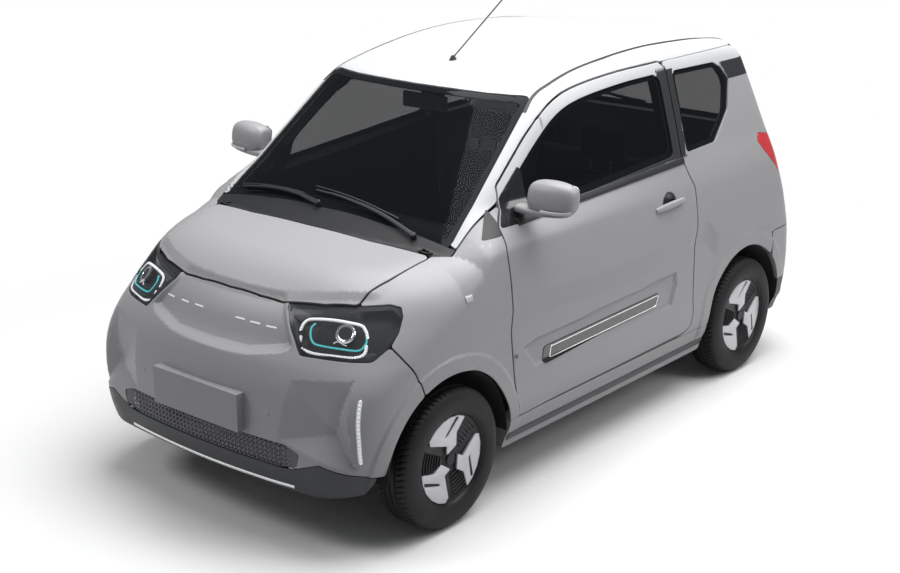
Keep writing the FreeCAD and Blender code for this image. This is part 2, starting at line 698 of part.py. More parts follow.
# Cowl: the black strip between the bonnet and the windscreen.
COWL = [(0, -956), (300, -946), (560, -906), (606, -860), (606, -835), (585, -839), (300, -871.5), (0, -884.5)]
COWL_RING = COWL + [(-x, y) for x, y in reversed(COWL[1:-1])]
cowl = arch_slab(-1000, -800, 25, 155, 2, 22, 14, 32).common(plan_prism(COWL_RING))
cowl = cowl.cut(plan_prism(SCREEN_RING, 25, SEAT_GAP))
for hand in (1, -1):
    notch = box(*sorted((hand * 498, hand * 542)), -930, -882, 900, 1010)
    cowl = cowl.cut(notch)
for x in (490, 540):
    cheek = box(x, x + 10, HOOD_HINGE_Y - 7, HOOD_HINGE_Y + 7, 940, HOOD_HINGE_Z + 6)
    cowl = cowl.fuse(cheek).fuse(mirrored(cheek))
pin = disc(HOOD_PIN, 494, 546, HOOD_HINGE_Y, HOOD_HINGE_Z)
cowl = cowl.fuse(pin).fuse(mirrored(pin))
keep("cowl_panel", max(cowl.Solids, key=lambda solid: solid.Volume))

# Tailgate with its window.
rear_shell = post_slab(15, 165, 600, 1474, 0, 40, 850, 30, 30)
tailgate = rear_shell.common(front_prism(
    [(-TAILGATE_EDGE, 628), (TAILGATE_EDGE, 628), (TAILGATE_EDGE, 1100), (520, 1468), (-520, 1468),
     (-TAILGATE_EDGE, 1100)], 900, 1700, 20))
REAR_WINDOW = [(-470, 1090), (470, 1090), (440, 1410), (-440, 1410)]
GATE_Y, GATE_Z, GATE_PIN = 1180, 1480, 3.5
for x in (-350, 338):
    tongue = box(x, x + 12, GATE_Y - 7, GATE_Y + 3, GATE_Z - 60, GATE_Z)
    tongue = tongue.fuse(disc(7, x, x + 12, GATE_Y, GATE_Z)).cut(disc(GATE_PIN + 0.3, x - 1, x + 13, GATE_Y, GATE_Z))
    tailgate = tailgate.fuse(tongue)
tailgate = max(tailgate.Solids, key=lambda solid: solid.Volume)
keep("tailgate", tailgate.cut(front_prism(REAR_WINDOW, 900, 1700, 40)))
keep("tailgate_glass", post_slab(30, 150, 1050, 1440, 6, 6 + GLASS, 850, 30, 16).common(
    front_prism(REAR_WINDOW, 900, 1700, 40, -SEAT_GAP)))

# Rear bumper and tail lamps.
bumper_shell = post_slab(-10, 190, 190, 620, 0, 30, 850, 44, 12)
rear_bumper = bumper_shell.common(box(-900, 900, 1300 + GAP, 1700, 200, 620 - GAP))
rear_bumper = rear_bumper.cut(rear_arch).cut(mirrored(rear_arch))
keep("rear_bumper", max(rear_bumper.Solids, key=lambda solid: solid.Volume))

# Nose: one moulding from the bonnet's edge down, open for the lamps and the lower grille.
nose_shell = post_slab(-172, -8, 195, 900, 0, 30, -850, 72, 50)
GRILLE = [(-372, 312), (372, 312), (451, 331), (463, 381), (400, 403), (-400, 403), (-463, 381), (-451, 331)]
HORN = [(505, 306), (551, 361), (668, 316), (760, 292)]
NOSE_FOOT = HORN + [(760, 100), (-760, 100)] + [(-x, z) for x, z in reversed(HORN)]

nose = nose_shell
for hand in (1, -1):
    for block in (lamp_block, front_arch):
        nose = nose.cut(block if hand > 0 else mirrored(block))
nose = nose.cut(bonnet_hole).cut(front_prism(GRILLE, -1700, -1000, 15))
nose_edge = [(y - GAP, z) for y, z in BUMPER_LINE]
nose = nose.common(side_prism(nose_edge, 0, 0, -900, 900)).cut(front_prism(NOSE_FOOT, -1700, -900))
keep("front_bumper", max(nose.Solids, key=lambda solid: solid.Volume))
lamp_shell = post_slab(-90, -8, 690, 880, 4, 40, -850, 30, 14)
lens_shell = post_slab(-90, -8, 690, 880, 0, 3.5, -850, 30, 14)
lamp_seat = front_prism(LAMP, -1700, -1000, 25, -SEAT_GAP).cut(bonnet_hole)
lamp = lamp_shell.common(lamp_seat)
lamp_well = post_slab(-90, -8, 690, 880, 3, 32, -850, 30, 14).common(front_prism(LAMP, -1700, -1000, 25, -12))
lamp = lamp.cut(lamp_well.cut(plan_prism(BONNET_RING, 20, GAP + 12, 700, 1200)))
LAMP_EYE = Vector(524, -1317, 787)
eye_way = normal(*LAMP_EYE)
projector = Part.makeCylinder(32, 34, LAMP_EYE - eye_way * 40, eye_way)
lamp = lamp.fuse(projector)
keep("headlamps", both(max(lamp.Solids, key=lambda solid: solid.Volume)))
keep("headlamp_lenses", both(lens_shell.common(lamp_seat)))
grille = post_slab(-135, -45, 290, 420, 8, 14, -850, 30, 8).common(
    front_prism(GRILLE, -1700, -1000, 15, -SEAT_GAP))
GRILLE_ROWS = (333, 357, 381)
GRILLE_PITCH = 26
slots = []
for row, z in enumerate(GRILLE_ROWS):
    reach = (370, 420, 400)[row]
    for step in range(-16, 17):
        x = GRILLE_PITCH * (step + 0.5 * (row % 2))
        if abs(x) > reach:
            continue
        half = 9.5 * (1 - 0.45 * (abs(x) / 440) ** 2)
        slots.append(front_prism([(x - half, z + 0.8 * half), (x + half, z + 0.8 * half), (x, z - half)], -1560, -1380))
grille = grille.cut(Part.makeCompound(slots))
keep("intake_grille", max(grille.Solids, key=lambda solid: solid.Volume))
valance_ring = [(x, z - 0.5) for x, z in reversed(HORN[:3])] + [(-x, z - 0.5) for x, z in HORN[:3]]
valance_ring += [(-688, 285), (-661, 247), (-540, 228), (540, 228), (661, 247), (688, 285)]
valance = post_slab(-170, -10, 205, 375, 0, 22, -850, 60, 14).common(front_prism(valance_ring, -1700, -1250))
valance = valance.cut(front_arch).cut(mirrored(front_arch))
keep("front_valance", max(valance.Solids, key=lambda solid: solid.Volume))
PLATE_FRONT = -HALF_LENGTH
plate_z = 482
half_plate = size("plate_width") / 2
plate = box(-half_plate, half_plate, PLATE_FRONT, PLATE_FRONT + 40, plate_z - size("plate_height") / 2,
            plate_z + size("plate_height") / 2)
nose_core = post_slab(-120, -60, 380, 600, -0.3, 60, -850, 20, 10)
keep("number_plate", max(plate.cut(nose_core).Solids, key=lambda solid: solid.Volume))

# Tail lamps, let into the quarters.
tail_lamp = quarter_shell.common(side_prism(TAIL_LAMP, 10, -SEAT_GAP, 300)).cut(
    box(0, TAILGATE_EDGE + GAP, 850, 2000, 100, 1700))
keep("tail_lamps", both(max(tail_lamp.Solids, key=lambda solid: solid.Volume)))

# Floor, battery, motor, axles and wheel housings.
FLOOR = size("floor_height")
FLOOR_TOP = FLOOR + size("floor_depth")
DECK = 325
DECK_TOP = DECK + size("floor_depth")
floor = doc.addObject("PartDesign::Body", "floor_pan")
plate_rows = [(-640, FLOOR), (742, FLOOR), (782, DECK), (1400, DECK), (1400, DECK_TOP), (778, DECK_TOP),
              (738, FLOOR_TOP), (-640, FLOOR_TOP)]
plate_rows = [(y, Measure("floor_height", 1, z - FLOOR) if z < DECK else z) for y, z in plate_rows]
pad(floor, "floor_plate", plate_rows, Measure("floor_width"))
for hand, side in ((1, "left"), (-1, "right")):
    corner = body_cut = floor.newObject("PartDesign::Pocket", "wheel_notch_" + side)
    body_cut.Profile = sketch(floor, "wheel_notch_outline_" + side, XY_PLANE,
                              [(hand * 520, 745), (hand * 650, 722), (hand * 650, 1410), (hand * 520, 1410)])
    body_cut.SideType = "Symmetric"
    body_cut.Length = 1000
    floor.Tip = body_cut
made(floor)
battery = solid("Box", "battery_pack", (Measure("battery_width", -0.5), -500, 0), None, Length=Measure("battery_width"),
                Width=Measure("battery_length"), Height=Measure("battery_height"))
battery.setExpression("Placement.Base.z", "sizes.floor_height - sizes.battery_height")
made(battery)
LINER_OUT = 715
liner_radius = size("arch_radius") - SEAT_GAP


def liner(y, inner_x):
    """Half tube over a wheel with a wall on its inner side."""
    tube = disc(liner_radius, inner_x, LINER_OUT, y, AXLE_HEIGHT).cut(
        disc(liner_radius - size("arch_wall"), inner_x + size("arch_wall"), LINER_OUT, y, AXLE_HEIGHT))
    tube = tube.cut(box(0, 900, y - 500, y + 500, -200, FLOOR_TOP))
    return tube.cut(box(0, inner_x + 20, y - 70, y + 70, -200, 400))


front_liner = liner(FRONT_AXLE, 420)
rear_liner = liner(REAR_AXLE, 545)
keep("wheel_liners", Part.makeCompound([front_liner, mirrored(front_liner), rear_liner, mirrored(rear_liner)]))
bulkhead = front_prism([(-600, FLOOR_TOP), (600, FLOOR_TOP), (600, 880), (560, 940), (-560, 940), (-600, 880)],
                       -636, -628)
tray = box(-415, 415, -1350, -636, 610, 616)
POST_X = 640
POST_BACK = -628
bulkhead = bulkhead.fuse(tray)


def hinge_leaf(height):
    """Arm from the door post to the hinge pin, with the pin's eye."""
    leaf = box(POST_X - 10, HINGE_X, HINGE_Y - 4, HINGE_Y + 4, height, height + HINGE_LEAF)
    leaf = leaf.fuse(Part.makeCylinder(HINGE_EYE, HINGE_LEAF, Vector(HINGE_X, HINGE_Y, height)))
    return leaf.cut(Part.makeCylinder(size("hinge_pin_radius") + size("hinge_clearance"), HINGE_LEAF + 2,
                                      Vector(HINGE_X, HINGE_Y, height - 1)))


door_post = box(590, POST_X, -655, POST_BACK, FLOOR_TOP, 930)
for height in HINGE_HEIGHTS:
    door_post = door_post.fuse(hinge_leaf(height))
bulkhead = bulkhead.fuse(door_post).fuse(mirrored(door_post))
keep("bulkhead", bulkhead)
ARM_Z = 150
arm = plan_prism([(300, -940), (590, -975), (590, -1005), (300, -1040)], 8, 0, ARM_Z - 20, ARM_Z - SEAT_GAP)
rails = box(300, 350, -1300, -640, 200, FLOOR)
post = box(300, 350, -1040, -940, ARM_Z - 20, 200)
cross = box(-350, 350, -1300, -1250, 200, FLOOR)
keep("front_subframe", both(arm.fuse(rails).fuse(post)).fuse(cross))
SPINDLE = Measure("hub_bore_radius", 1, -size("axle_clearance"))
axle_parts = [across("axle_beam", -575, REAR_AXLE, AXLE_HEIGHT, Measure("beam_radius"), 1150),
              across("axle_spindles", Measure("hub_reach", -1), REAR_AXLE, AXLE_HEIGHT, SPINDLE, Measure("hub_reach", 2))]
for side, x in (("left", 430), ("right", -480)):
    axle_parts.append(solid("Box", "trailing_arm_" + side, (x, 700, 236), None, Length=50, Width=REAR_AXLE - 700,
                            Height=FLOOR - 236))
fused("rear_axle", axle_parts)
motor = solid("Box", "drive_motor", (Measure("motor_width", -0.5), REAR_AXLE - 190, 150), None,
              Length=Measure("motor_width"), Width=Measure("motor_length"), Height=Measure("motor_height"))
made(motor)

# Steering knuckles.

def knuckle(label, hand):
    """Kingpin post with the stub axle and its flange."""
    reach = size("hub_reach") - size("kingpin_x")
    start = hand * size("kingpin_x")
    post = solid("Cylinder", label + "_kingpin", (Measure("kingpin_x", hand), FRONT_AXLE, ARM_Z), None,
                 Radius=Measure("kingpin_radius"), Height=230)
    low = min(start, start + hand * reach)
    spindle = across(label + "_spindle", low, FRONT_AXLE, AXLE_HEIGHT, SPINDLE, reach)
    flange = across(label + "_flange", min(start, start + hand * 18), FRONT_AXLE, AXLE_HEIGHT,
                    Measure("hub_flange_radius"), 18)
    return fused(label, [post, spindle, flange])


knuckle("knuckle_left", 1)
knuckle("knuckle_right", -1)

# Wheels: tyre, and rim with its disc.

def turned(label, rows, y, hand):
    """A ring turned about the axle, its profile as (across, radius)."""
    body = doc.addObject("PartDesign::Body", label)
    ring = body.newObject("PartDesign::Revolution", label + "_ring")
    profile = sketch(body, label + "_profile", XZ_PLANE, rows)
    ring.Profile = profile
    ring.ReferenceAxis = (profile, ["H_Axis"])
    ring.Angle = 360
    body.Tip = ring
    if hand < 0:
        body.Placement = FreeCAD.Placement(Vector(0, 0, 0), FreeCAD.Rotation(Vector(0, 0, 1), 180))
    bind(body, Placement__Base__x=Measure("wheel_plane", hand), Placement__Base__y=y,
         Placement__Base__z=Measure("tyre_radius"))
    return body


def tyre(label, y, hand):
    def wide(more):
        return Measure("tyre_width", 0.5, more)

    def inner(more):
        return Measure("tyre_width", -0.5, more)
    rim_edge = Measure("rim_radius", 1, SEAT_GAP)
    rows = [(inner(14), rim_edge), (inner(3), Measure("rim_radius", 1, 14)), (inner(0), Measure("tyre_radius", 1, -52)),
            (inner(4), Measure("tyre_radius", 1, -30)), (inner(12), Measure("tyre_radius", 1, -10)),
            (inner(24), Measure("tyre_radius", 1, -2)), (inner(38), Measure("tyre_radius")),
            (wide(-38), Measure("tyre_radius")), (wide(-24), Measure("tyre_radius", 1, -2)),
            (wide(-12), Measure("tyre_radius", 1, -10)), (wide(-4), Measure("tyre_radius", 1, -30)),
            (wide(0), Measure("tyre_radius", 1, -52)), (wide(-3), Measure("rim_radius", 1, 14)),
            (wide(-14), rim_edge)]
    return made(turned(label, rows, y, hand))


BLADE = [(36, 18), (64, -6), (144, 23), (163, 18), (164, 4), (164, -12), (164, -28), (164, -44), (162, -57),
         (100, -46), (55, -58)]
BLADE_SLOT = [(103, -8), (158, -39), (157, -45), (99, -15)]
BLADE_THICK = 5
TRIM_FACE = 57


def polar(points):
    return [(radius * math.cos(math.radians(turn)), radius * math.sin(math.radians(turn))) for radius, turn in points]


def wheel(label, y, hand):
    """Steel rim with a plastic trim disc and its three raised blades."""
    half = size("tyre_width") / 2
    wall = Measure("rim_radius", 1, -size("rim_wall"))
    bore = Measure("hub_bore_radius")
    rows = [(-half + 14, Measure("rim_radius")), (-half + 14, wall), (12, wall), (16, 120), (12, 60), (-20, 45),
            (-20, bore), (48, bore), (52, 60), (57, 120), (57, 168), (half - 8, Measure("rim_radius", 1, -4)),
            (half - 8, Measure("rim_radius"))]
    body = turned(label, rows, y, hand)
    blade = sketch(body, label + "_blade", YZ_PLANE, polar(BLADE), TRIM_FACE - 15)
    slot = sketch(body, label + "_slot", YZ_PLANE, polar(BLADE_SLOT), TRIM_FACE + 8)
    raised = body.newObject("PartDesign::Pad", label + "_raised")
    raised.Profile = blade
    raised.Length = 15 + BLADE_THICK
    cut = body.newObject("PartDesign::Pocket", label + "_cut")
    cut.Profile = slot
    cut.Length = 9
    body.Tip = cut
    ring = body.newObject("PartDesign::PolarPattern", label + "_blades")
    ring.Originals = [raised, cut]
    ring.Axis = (blade, ["N_Axis"])
    ring.Angle = 360
    ring.Occurrences = 3
    body.Tip = ring
    return made(body)


for corner, hand, y in (("front_left", 1, FRONT_AXLE), ("front_right", -1, FRONT_AXLE),
                        ("rear_left", 1, REAR_AXLE), ("rear_right", -1, REAR_AXLE)):
    tyre("tyre_" + corner, y, hand)
    wheel("wheel_" + corner, y, hand)

# Cabin.
dash = doc.addObject("PartDesign::Body", "dashboard")
pad(dash, "dash_top", [(-627.7, 700), (-627.7, 935), (-560, 960), (-440, 930), (-400, 860), (-420, 740), (-500, 690)],
    Measure("dash_width"), 16)
made(dash)
WHEEL_X, WHEEL_Y, WHEEL_Z, WHEEL_TILT = 330, -320, 905, 25
spokes = [solid("Torus", "steering_rim", Radius1=Measure("steering_wheel_radius"), Radius2=Measure("steering_rim")),
          solid("Cylinder", "steering_hub", (0, 0, -20), None, Radius=45, Height=40)]
for side, x, y, wide, deep in (("left", -178, -14, 150, 28), ("right", 28, -14, 150, 28), ("low", -16, -178, 32, 150)):
    spokes.append(solid("Box", "steering_spoke_" + side, (x, y, -7), None, Length=wide, Width=deep, Height=14))
steering = fused("steering_wheel", spokes)
steering.Placement = FreeCAD.Placement(Vector(WHEEL_X, WHEEL_Y, WHEEL_Z),
                                       FreeCAD.Rotation(Vector(1, 0, 0), -90 + WHEEL_TILT))
doc.recompute()
tilt = math.radians(WHEEL_TILT)
column_way = Vector(0, -math.cos(tilt), -math.sin(tilt))
column_start = Vector(WHEEL_X, WHEEL_Y, WHEEL_Z) + column_way * (20 + SEAT_GAP)
column_bar = solid("Cylinder", "column_bar", Radius=22, Height=130)
column_bar.Placement = FreeCAD.Placement(column_start, FreeCAD.Rotation(Vector(0, 0, 1), column_way))
column = doc.addObject("Part::Cut", "steering_column")
column.Base = column_bar
column.Tool = dash
made(column)


def seat(label, x):
    """Base, cushion, back and headrest of one seat."""
    body = doc.addObject("PartDesign::Body", label)
    pad(body, label + "_base", [(-120, FLOOR_TOP), (260, FLOOR_TOP), (260, 370), (-120, 370)], 360)
    pad(body, label + "_cushion", [(-170, 360), (320, 360), (320, 480), (-170, 480)], Measure("seat_width"), 25)
    pad(body, label + "_back", [(300, 470), (400, 450), (540, 1010), (450, 1030)], Measure("seat_width", 1, -4), 25)
    pad(body, label + "_headrest", [(485, 1005), (530, 1000), (575, 1170), (505, 1180)], 260, 18)
    bind(body, Placement__Base__x=x)
    return made(body)


seat("seat_left", 310)
seat("seat_right", -310)
bench = doc.addObject("PartDesign::Body", "rear_bench")
pad(bench, "bench_base", [(820, DECK_TOP), (1060, DECK_TOP), (1060, 400), (820, 400)], 960)
pad(bench, "bench_cushion", [(800, DECK_TOP + 30), (1080, DECK_TOP + 30), (1080, 480), (800, 480)], 1060, 16)
pad(bench, "bench_back", [(1040, 460), (1150, 440), (1230, 900), (1150, 910)], 1056, 20)
made(bench)

# Small outside pieces.
def rod(start, end, radius):
    start, end = Vector(*start), Vector(*end)
    return Part.makeCylinder(radius, (end - start).Length, start, end - start)


roof_top = top_line(0, -120)
aerial_base = Part.makeCone(16, 7, 18, Vector(0, -120, roof_top - 1.5))
aerial = rod((0, -120, roof_top + 8), (0, 260, roof_top + 248), size("aerial_radius"))
keep("antenna", aerial_base.fuse(aerial).cut(roof))
keep("interior_mirror", box(-110, 110, -300, -285, 1330, 1390).fuse(rod((0, -292, 1380), (0, -330, 1440), 6)).cut(
    pieces[[item.Label for item in pieces].index("windshield")].Shape).cut(upper_frame))


def on_screen(x, y, height):
    return (x, y, top_line(x, y) + height)


def wiper(x, y, tip_x, tip_y):
    lift = 22
    post = rod(on_screen(x, y, SEAT_GAP), on_screen(x, y, lift), 9)
    arm = post.fuse(rod(on_screen(x, y, lift - 6), on_screen(tip_x, tip_y, lift - 2), 6))
    for item in pieces:
        if item.Label in ("cowl_panel", "windshield"):
            arm = arm.cut(item.Shape)
    return max(arm.Solids, key=lambda solid: solid.Volume)


wipers = Part.makeCompound([wiper(440, -866, -40, -846), wiper(-20, -878, -470, -838)])
keep("wipers", wipers)

doc.recompute()
wrong = [item.Label for item in doc.Objects if "Invalid" in item.State or "Error" in item.State]
wrong += [item.Label for item in pieces if item.Shape.isNull() or not item.Shape.isValid()]
for item in pieces:
    print(item.Label, item.Shape.isValid(), len(item.Shape.Solids), round(item.Shape.Volume / 1e6, 3))
if wrong:
    raise SystemExit("not sound: " + ", ".join(wrong))
os.makedirs("parts", exist_ok=True)
for item in pieces:
    item.Shape.exportStep("parts/%s.step" % item.Label)
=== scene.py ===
import math

import bmesh
import bpy
import numpy as np
from mathutils import Matrix, Vector


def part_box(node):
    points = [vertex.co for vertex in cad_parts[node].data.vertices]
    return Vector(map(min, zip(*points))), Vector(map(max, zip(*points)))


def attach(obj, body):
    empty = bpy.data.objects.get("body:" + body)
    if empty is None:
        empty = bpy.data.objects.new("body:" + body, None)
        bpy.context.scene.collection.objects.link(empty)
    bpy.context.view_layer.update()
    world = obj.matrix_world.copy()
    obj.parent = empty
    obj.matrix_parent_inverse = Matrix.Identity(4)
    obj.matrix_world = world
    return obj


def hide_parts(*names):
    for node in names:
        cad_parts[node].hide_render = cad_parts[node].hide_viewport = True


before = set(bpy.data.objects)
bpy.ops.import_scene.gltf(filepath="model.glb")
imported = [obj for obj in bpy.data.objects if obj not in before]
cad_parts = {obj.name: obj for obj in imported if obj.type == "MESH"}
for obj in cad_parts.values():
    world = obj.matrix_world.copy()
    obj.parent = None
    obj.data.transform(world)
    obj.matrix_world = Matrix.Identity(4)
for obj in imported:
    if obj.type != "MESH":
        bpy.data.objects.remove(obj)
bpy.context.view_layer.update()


# Studio: a pale floor, an even pale room and three large soft lamps, with the camera standing above
# the car's front left corner at the height of a tall tripod.
scene = bpy.context.scene
scene.view_settings.view_transform = "Standard"
PICTURE_WIDTH, FOCAL_LENGTH = 900, 1515.61  # pixels
SENSOR = 36


def linked(name, data):
    """A new object in the scene."""
    made = bpy.data.objects.new(name, data)
    scene.collection.objects.link(made)
    return made


camera = linked("camera", bpy.data.cameras.new("camera"))
camera.data.sensor_width = SENSOR
camera.data.lens = FOCAL_LENGTH * SENSOR / PICTURE_WIDTH
azimuth, elevation, roll = 0.693123, 0.314386, 0.004216
ahead = Vector((-math.sin(azimuth) * math.cos(elevation), math.cos(azimuth) * math.cos(elevation),
                -math.sin(elevation)))
across = ahead.cross(Vector((0, 0, 1))).normalized()
upward = across.cross(ahead)
tilted = (math.cos(roll) * across + math.sin(roll) * upward,
          math.cos(roll) * upward - math.sin(roll) * across)
camera.matrix_world = Matrix.Translation((3.870997, -4.793467, 2.518671)) @ Matrix(
    (*tilted, -ahead)).transposed().to_4x4()
scene.camera = camera


class Value:
    """One output of a material's node, ready for plain arithmetic."""

    def __init__(self, finish, socket):
        self.finish, self.socket = finish, socket

    def maths(self, operation, *others):
        terms = dict(enumerate((self,) + others))
        return self.finish.node("ShaderNodeMath", {"operation": operation}, terms)

    def __add__(self, other):
        return self.maths("ADD", other)

    def __mul__(self, other):
        return self.maths("MULTIPLY", other)

    def __gt__(self, other):
        return self.maths("GREATER_THAN", other)

    def __lt__(self, other):
        return self.maths("LESS_THAN", other)

    __radd__, __rmul__ = __add__, __mul__


class Graph:
    """A tree of nodes that values, links and nodes are put into."""

    def __init__(self, tree):
        self.tree = tree

    def join(self, value, socket):
        value = value.socket if isinstance(value, Value) else value
        if isinstance(value, bpy.types.NodeSocket):
            self.tree.links.new(value, socket)
        else:
            socket.default_value = value

    def add(self, kind, settings={}, sockets={}):
        """A node with its settings, set first, and the values or links of its sockets."""
        made = self.tree.nodes.new(kind)
        for name, value in settings.items():
            setattr(made, name, value)
        for name, value in sockets.items():
            self.join(value, made.inputs[name])
        return made


class Finish(Graph):
    """A procedural material: fixed numbers on the shader's sockets, and nodes for what varies."""

    def __init__(self, name, colour, roughness, metallic=0.0, drift=None, grain=None, **fixed):
        self.material = bpy.data.materials.new(name)
        self.material.use_nodes = True
        super().__init__(self.material.node_tree)
        self.shader = self.tree.nodes["Principled BSDF"]
        self.colour, self.roughness = tuple(colour) + (1.0,), roughness
        fixed.update(Base_Color=self.colour, Roughness=roughness, Metallic=metallic)
        for socket, value in fixed.items():
            self.feed(socket.replace("_", " "), value)
        if drift:
            self.drift = self.vary(*drift)
        if grain:
            scale, detail, strength, distance = grain
            self.bump(self.noise(scale, detail), strength, distance)

    def feed(self, socket, value):
        self.join(value, self.shader.inputs[socket])

    def node(self, kind, settings, sockets, output=0):
        return Value(self, self.add(kind, settings, sockets).outputs[output])

    def place(self):
        return self.node("ShaderNodeTexCoord", {}, {}, "Object")

    def noise(self, scale, detail=2.0):
        return self.node("ShaderNodeTexNoise", {}, {
            "Vector": self.place(), "Scale": scale, "Detail": detail})

    def mix(self, share, first, second):
        return self.node("ShaderNodeMix", {"data_type": "RGBA"}, {0: share, 6: first, 7: second}, 2)

    def bump(self, height, strength, distance):
        self.feed("Normal", self.node("ShaderNodeBump", {}, {
            "Height": height, "Strength": strength, "Distance": distance}))

    def glow(self, low, high):
        """A faint light of its own that drifts between two tones."""
        self.feed("Emission Color", self.mix(self.drift, low + (1,), high + (1,)))

    def vary(self, scale, colour, rough):
        """A faint drift of the tone and the gloss over the surface."""
        drift = self.noise(scale, 4.0)
        darker = tuple(c * (1 - colour) for c in self.colour[:3]) + (1.0,)
        lighter = tuple(min(c * (1 + colour), 1.0) for c in self.colour[:3]) + (1.0,)
        self.feed("Base Color", self.mix(drift, darker, lighter))
        self.feed("Roughness", drift * (2 * rough) + (self.roughness - rough))
        return drift


BY_EYE, BY_LIGHT = (0.90, 0.90, 0.90, 1), (0.28, 0.28, 0.29, 1)
floor = Finish("studio_floor", BY_EYE[:3], 0.9, drift=(0.4, 0.004, 0.02))
away = floor.node("ShaderNodeVectorMath", {"operation": "LENGTH"}, {0: floor.place()}, "Value")
fade = floor.node("ShaderNodeMapRange", {"interpolation_type": "SMOOTHSTEP"},
                  {"Value": away, "From Min": 1.6, "From Max": 3.0})
seen = [floor.node("ShaderNodeLightPath", {}, {}, "Is " + way + " Ray")
        for way in ("Camera", "Glossy", "Transmission")]
floor.feed("Base Color", floor.mix(seen[0] + seen[1] + seen[2], BY_LIGHT, BY_EYE))
blank = floor.add("ShaderNodeMixShader", {}, {
    0: fade * seen[0], 1: floor.shader.outputs[0], 2: floor.add("ShaderNodeEmission").outputs[0]})
floor.join(blank.outputs[0], floor.tree.nodes["Material Output"].inputs["Surface"])
bpy.ops.mesh.primitive_circle_add(vertices=96, radius=60, fill_type="NGON", location=(0, 0, -0.001))
ground = bpy.context.object
ground.name = "floor"
ground.data.materials.append(floor.material)

scene.world = bpy.data.worlds.new("room")
scene.world.use_nodes = True
room = Graph(scene.world.node_tree)
room.tree.nodes.clear()
path = room.add("ShaderNodeLightPath").outputs
backdrop = room.add("ShaderNodeMath", {"operation": "MAXIMUM"}, {
    0: path["Is Camera Ray"], 1: path["Is Transmission Ray"]})
lit = room.add("ShaderNodeBackground", {}, {"Color": (0.95, 0.97, 1.0, 1), "Strength": 0.19})
white = room.add("ShaderNodeBackground", {}, {"Color": (1, 1, 1, 1)})
both_ways = room.add("ShaderNodeMixShader", {}, {0: backdrop.outputs[0], 1: lit.outputs[0],
                                                 2: white.outputs[0]})
room.add("ShaderNodeOutputWorld", {}, {"Surface": both_ways.outputs[0]})


def lamp(name, place, aim, width, depth, power):
    light = bpy.data.lights.new(name, "AREA")
    light.shape, light.size, light.size_y, light.energy = "RECTANGLE", width, depth, power
    holder = linked(name, light)
    holder.location = place
    holder.rotation_euler = (Vector(aim) - Vector(place)).to_track_quat("-Z", "Y").to_euler()


lamp("top_lamp", (0.7, 0.6, 5.0), (0, 0.0, 0), width=4.4, depth=5.2, power=380)
lamp("front_lamp", (-3.4, -4.6, 5.2), (0, -1.2, 0.6), width=2.6, depth=2.0, power=120)
lamp("side_lamp", (5.6, 3.0, 4.4), (0.6, 0.4, 0.7), width=4.0, depth=2.0, power=105)


# Body skin: one pressed steel and moulded plastic surface that every outer panel is a piece of.
# It is written as a distance in millimetres from the skin, negative inside, plus what the
# stampings add or take away: wheel flares, the crest on the doors, the nose's mask and facets.
HALF_LENGTH, FRONT_AXLE, REAR_AXLE, AXLE_HEIGHT = 1545.0, -990.0, 1070.0, 266.0
HALF_WIDTH, ROOF, BELT, ARCH = 745.0, 1566.0, 1090.0, 330.0
MM = 0.001  # metres
CROWN_Y, CAMBER = 510, 0.0001  # where the roof is highest, and how it falls to its sides
SCREEN_FOOT, SCREEN_RISE, SCREEN_BOW, PILLAR_X = (-840, 988), 0.752, 0.00027, 591.0
# upright lines (y, x) that nets fan out from
FRONT_POST, REAR_POST, SIDE_POST = (-850.0,), (850.0,), (850.0, 250.0)


class Curve:
    """A smooth curve through rows of place and amount."""

    def __init__(self, rows):
        self.place, self.amount = np.array(rows, float).T
        steps = np.diff(self.amount) / np.diff(self.place)
        inner = (steps[:-1] + steps[1:]) / 2 * (steps[:-1] * steps[1:] > 0)
        self.slope = np.concatenate([steps[:1], inner, steps[-1:]])

    def __call__(self, value):
        spot = np.clip(np.searchsorted(self.place, value) - 1, 0, len(self.place) - 2)
        x0, y0, s0 = self.place[spot], self.amount[spot], self.slope[spot]
        x1, y1, s1 = self.place[spot + 1], self.amount[spot + 1], self.slope[spot + 1]
        span = x1 - x0
        part = np.clip((value - x0) / span, 0, 1)
        bent = ((2 * part ** 3 - 3 * part ** 2 + 1) * y0 + (part ** 3 - 2 * part ** 2 + part) * span * s0
                + (3 * part ** 2 - 2 * part ** 3) * y1 + (part ** 3 - part ** 2) * span * s1)
        return bent + np.minimum(value - x0, 0) * s0 + np.maximum(value - x1, 0) * s1


SIDE = Curve([(z, HALF_WIDTH - inset) for z, inset in (
    (150, 60), (220, 40), (300, 17), (400, 5), (600, 1), (765, 0), (950, 17), (1030, 37),
    (BELT, 55), (BELT + 110, 83), (ROOF - 116, 151), (ROOF - 6, 185))])
NOSE = Curve([(z, 555 - inset) for z, inset in (
    (150, 75), (220, 50), (300, 30), (450, 23), (580, 31), (660, 55), (720, 85), (780, 111),
    (850, 148), (930, 195), (1000, 255))])
TAIL = Curve([(z, 475 - inset) for z, inset in (
    (150, 35), (220, 13), (300, 1), (500, 5), (620, 20), (700, 47), (900, 115), (1060, 172),
    (1300, 272), (ROOF - 76, 360), (ROOF + 34, 415))])
NOSE_BOW = Curve([(250, 0.00012), (500, 0.00018), (600, 0.00025), (720, 0.00033), (870, 0.00038)])
NOSE_CORNER = Curve([(250, 180), (450, 150), (590, 130), (720, 200), (800, 280), (900, 300)])
TAIL_CORNER = Curve([(300, 80), (700, 90), (900, 115), (1100, 120), (1500, 80)])
HOOD_LINE = Curve([(-420, 868), (-300, 925), (-150, 965), (0, 990), (150, 1008), (400, 1030)])
CREST = Curve([(-900, 614), (-871, 631), (-660, 753), (-70, 762), (562, 784), (603, 797), (690, 795),
               (740, 760), (793, 711), (900, 706), (1243, 724)])


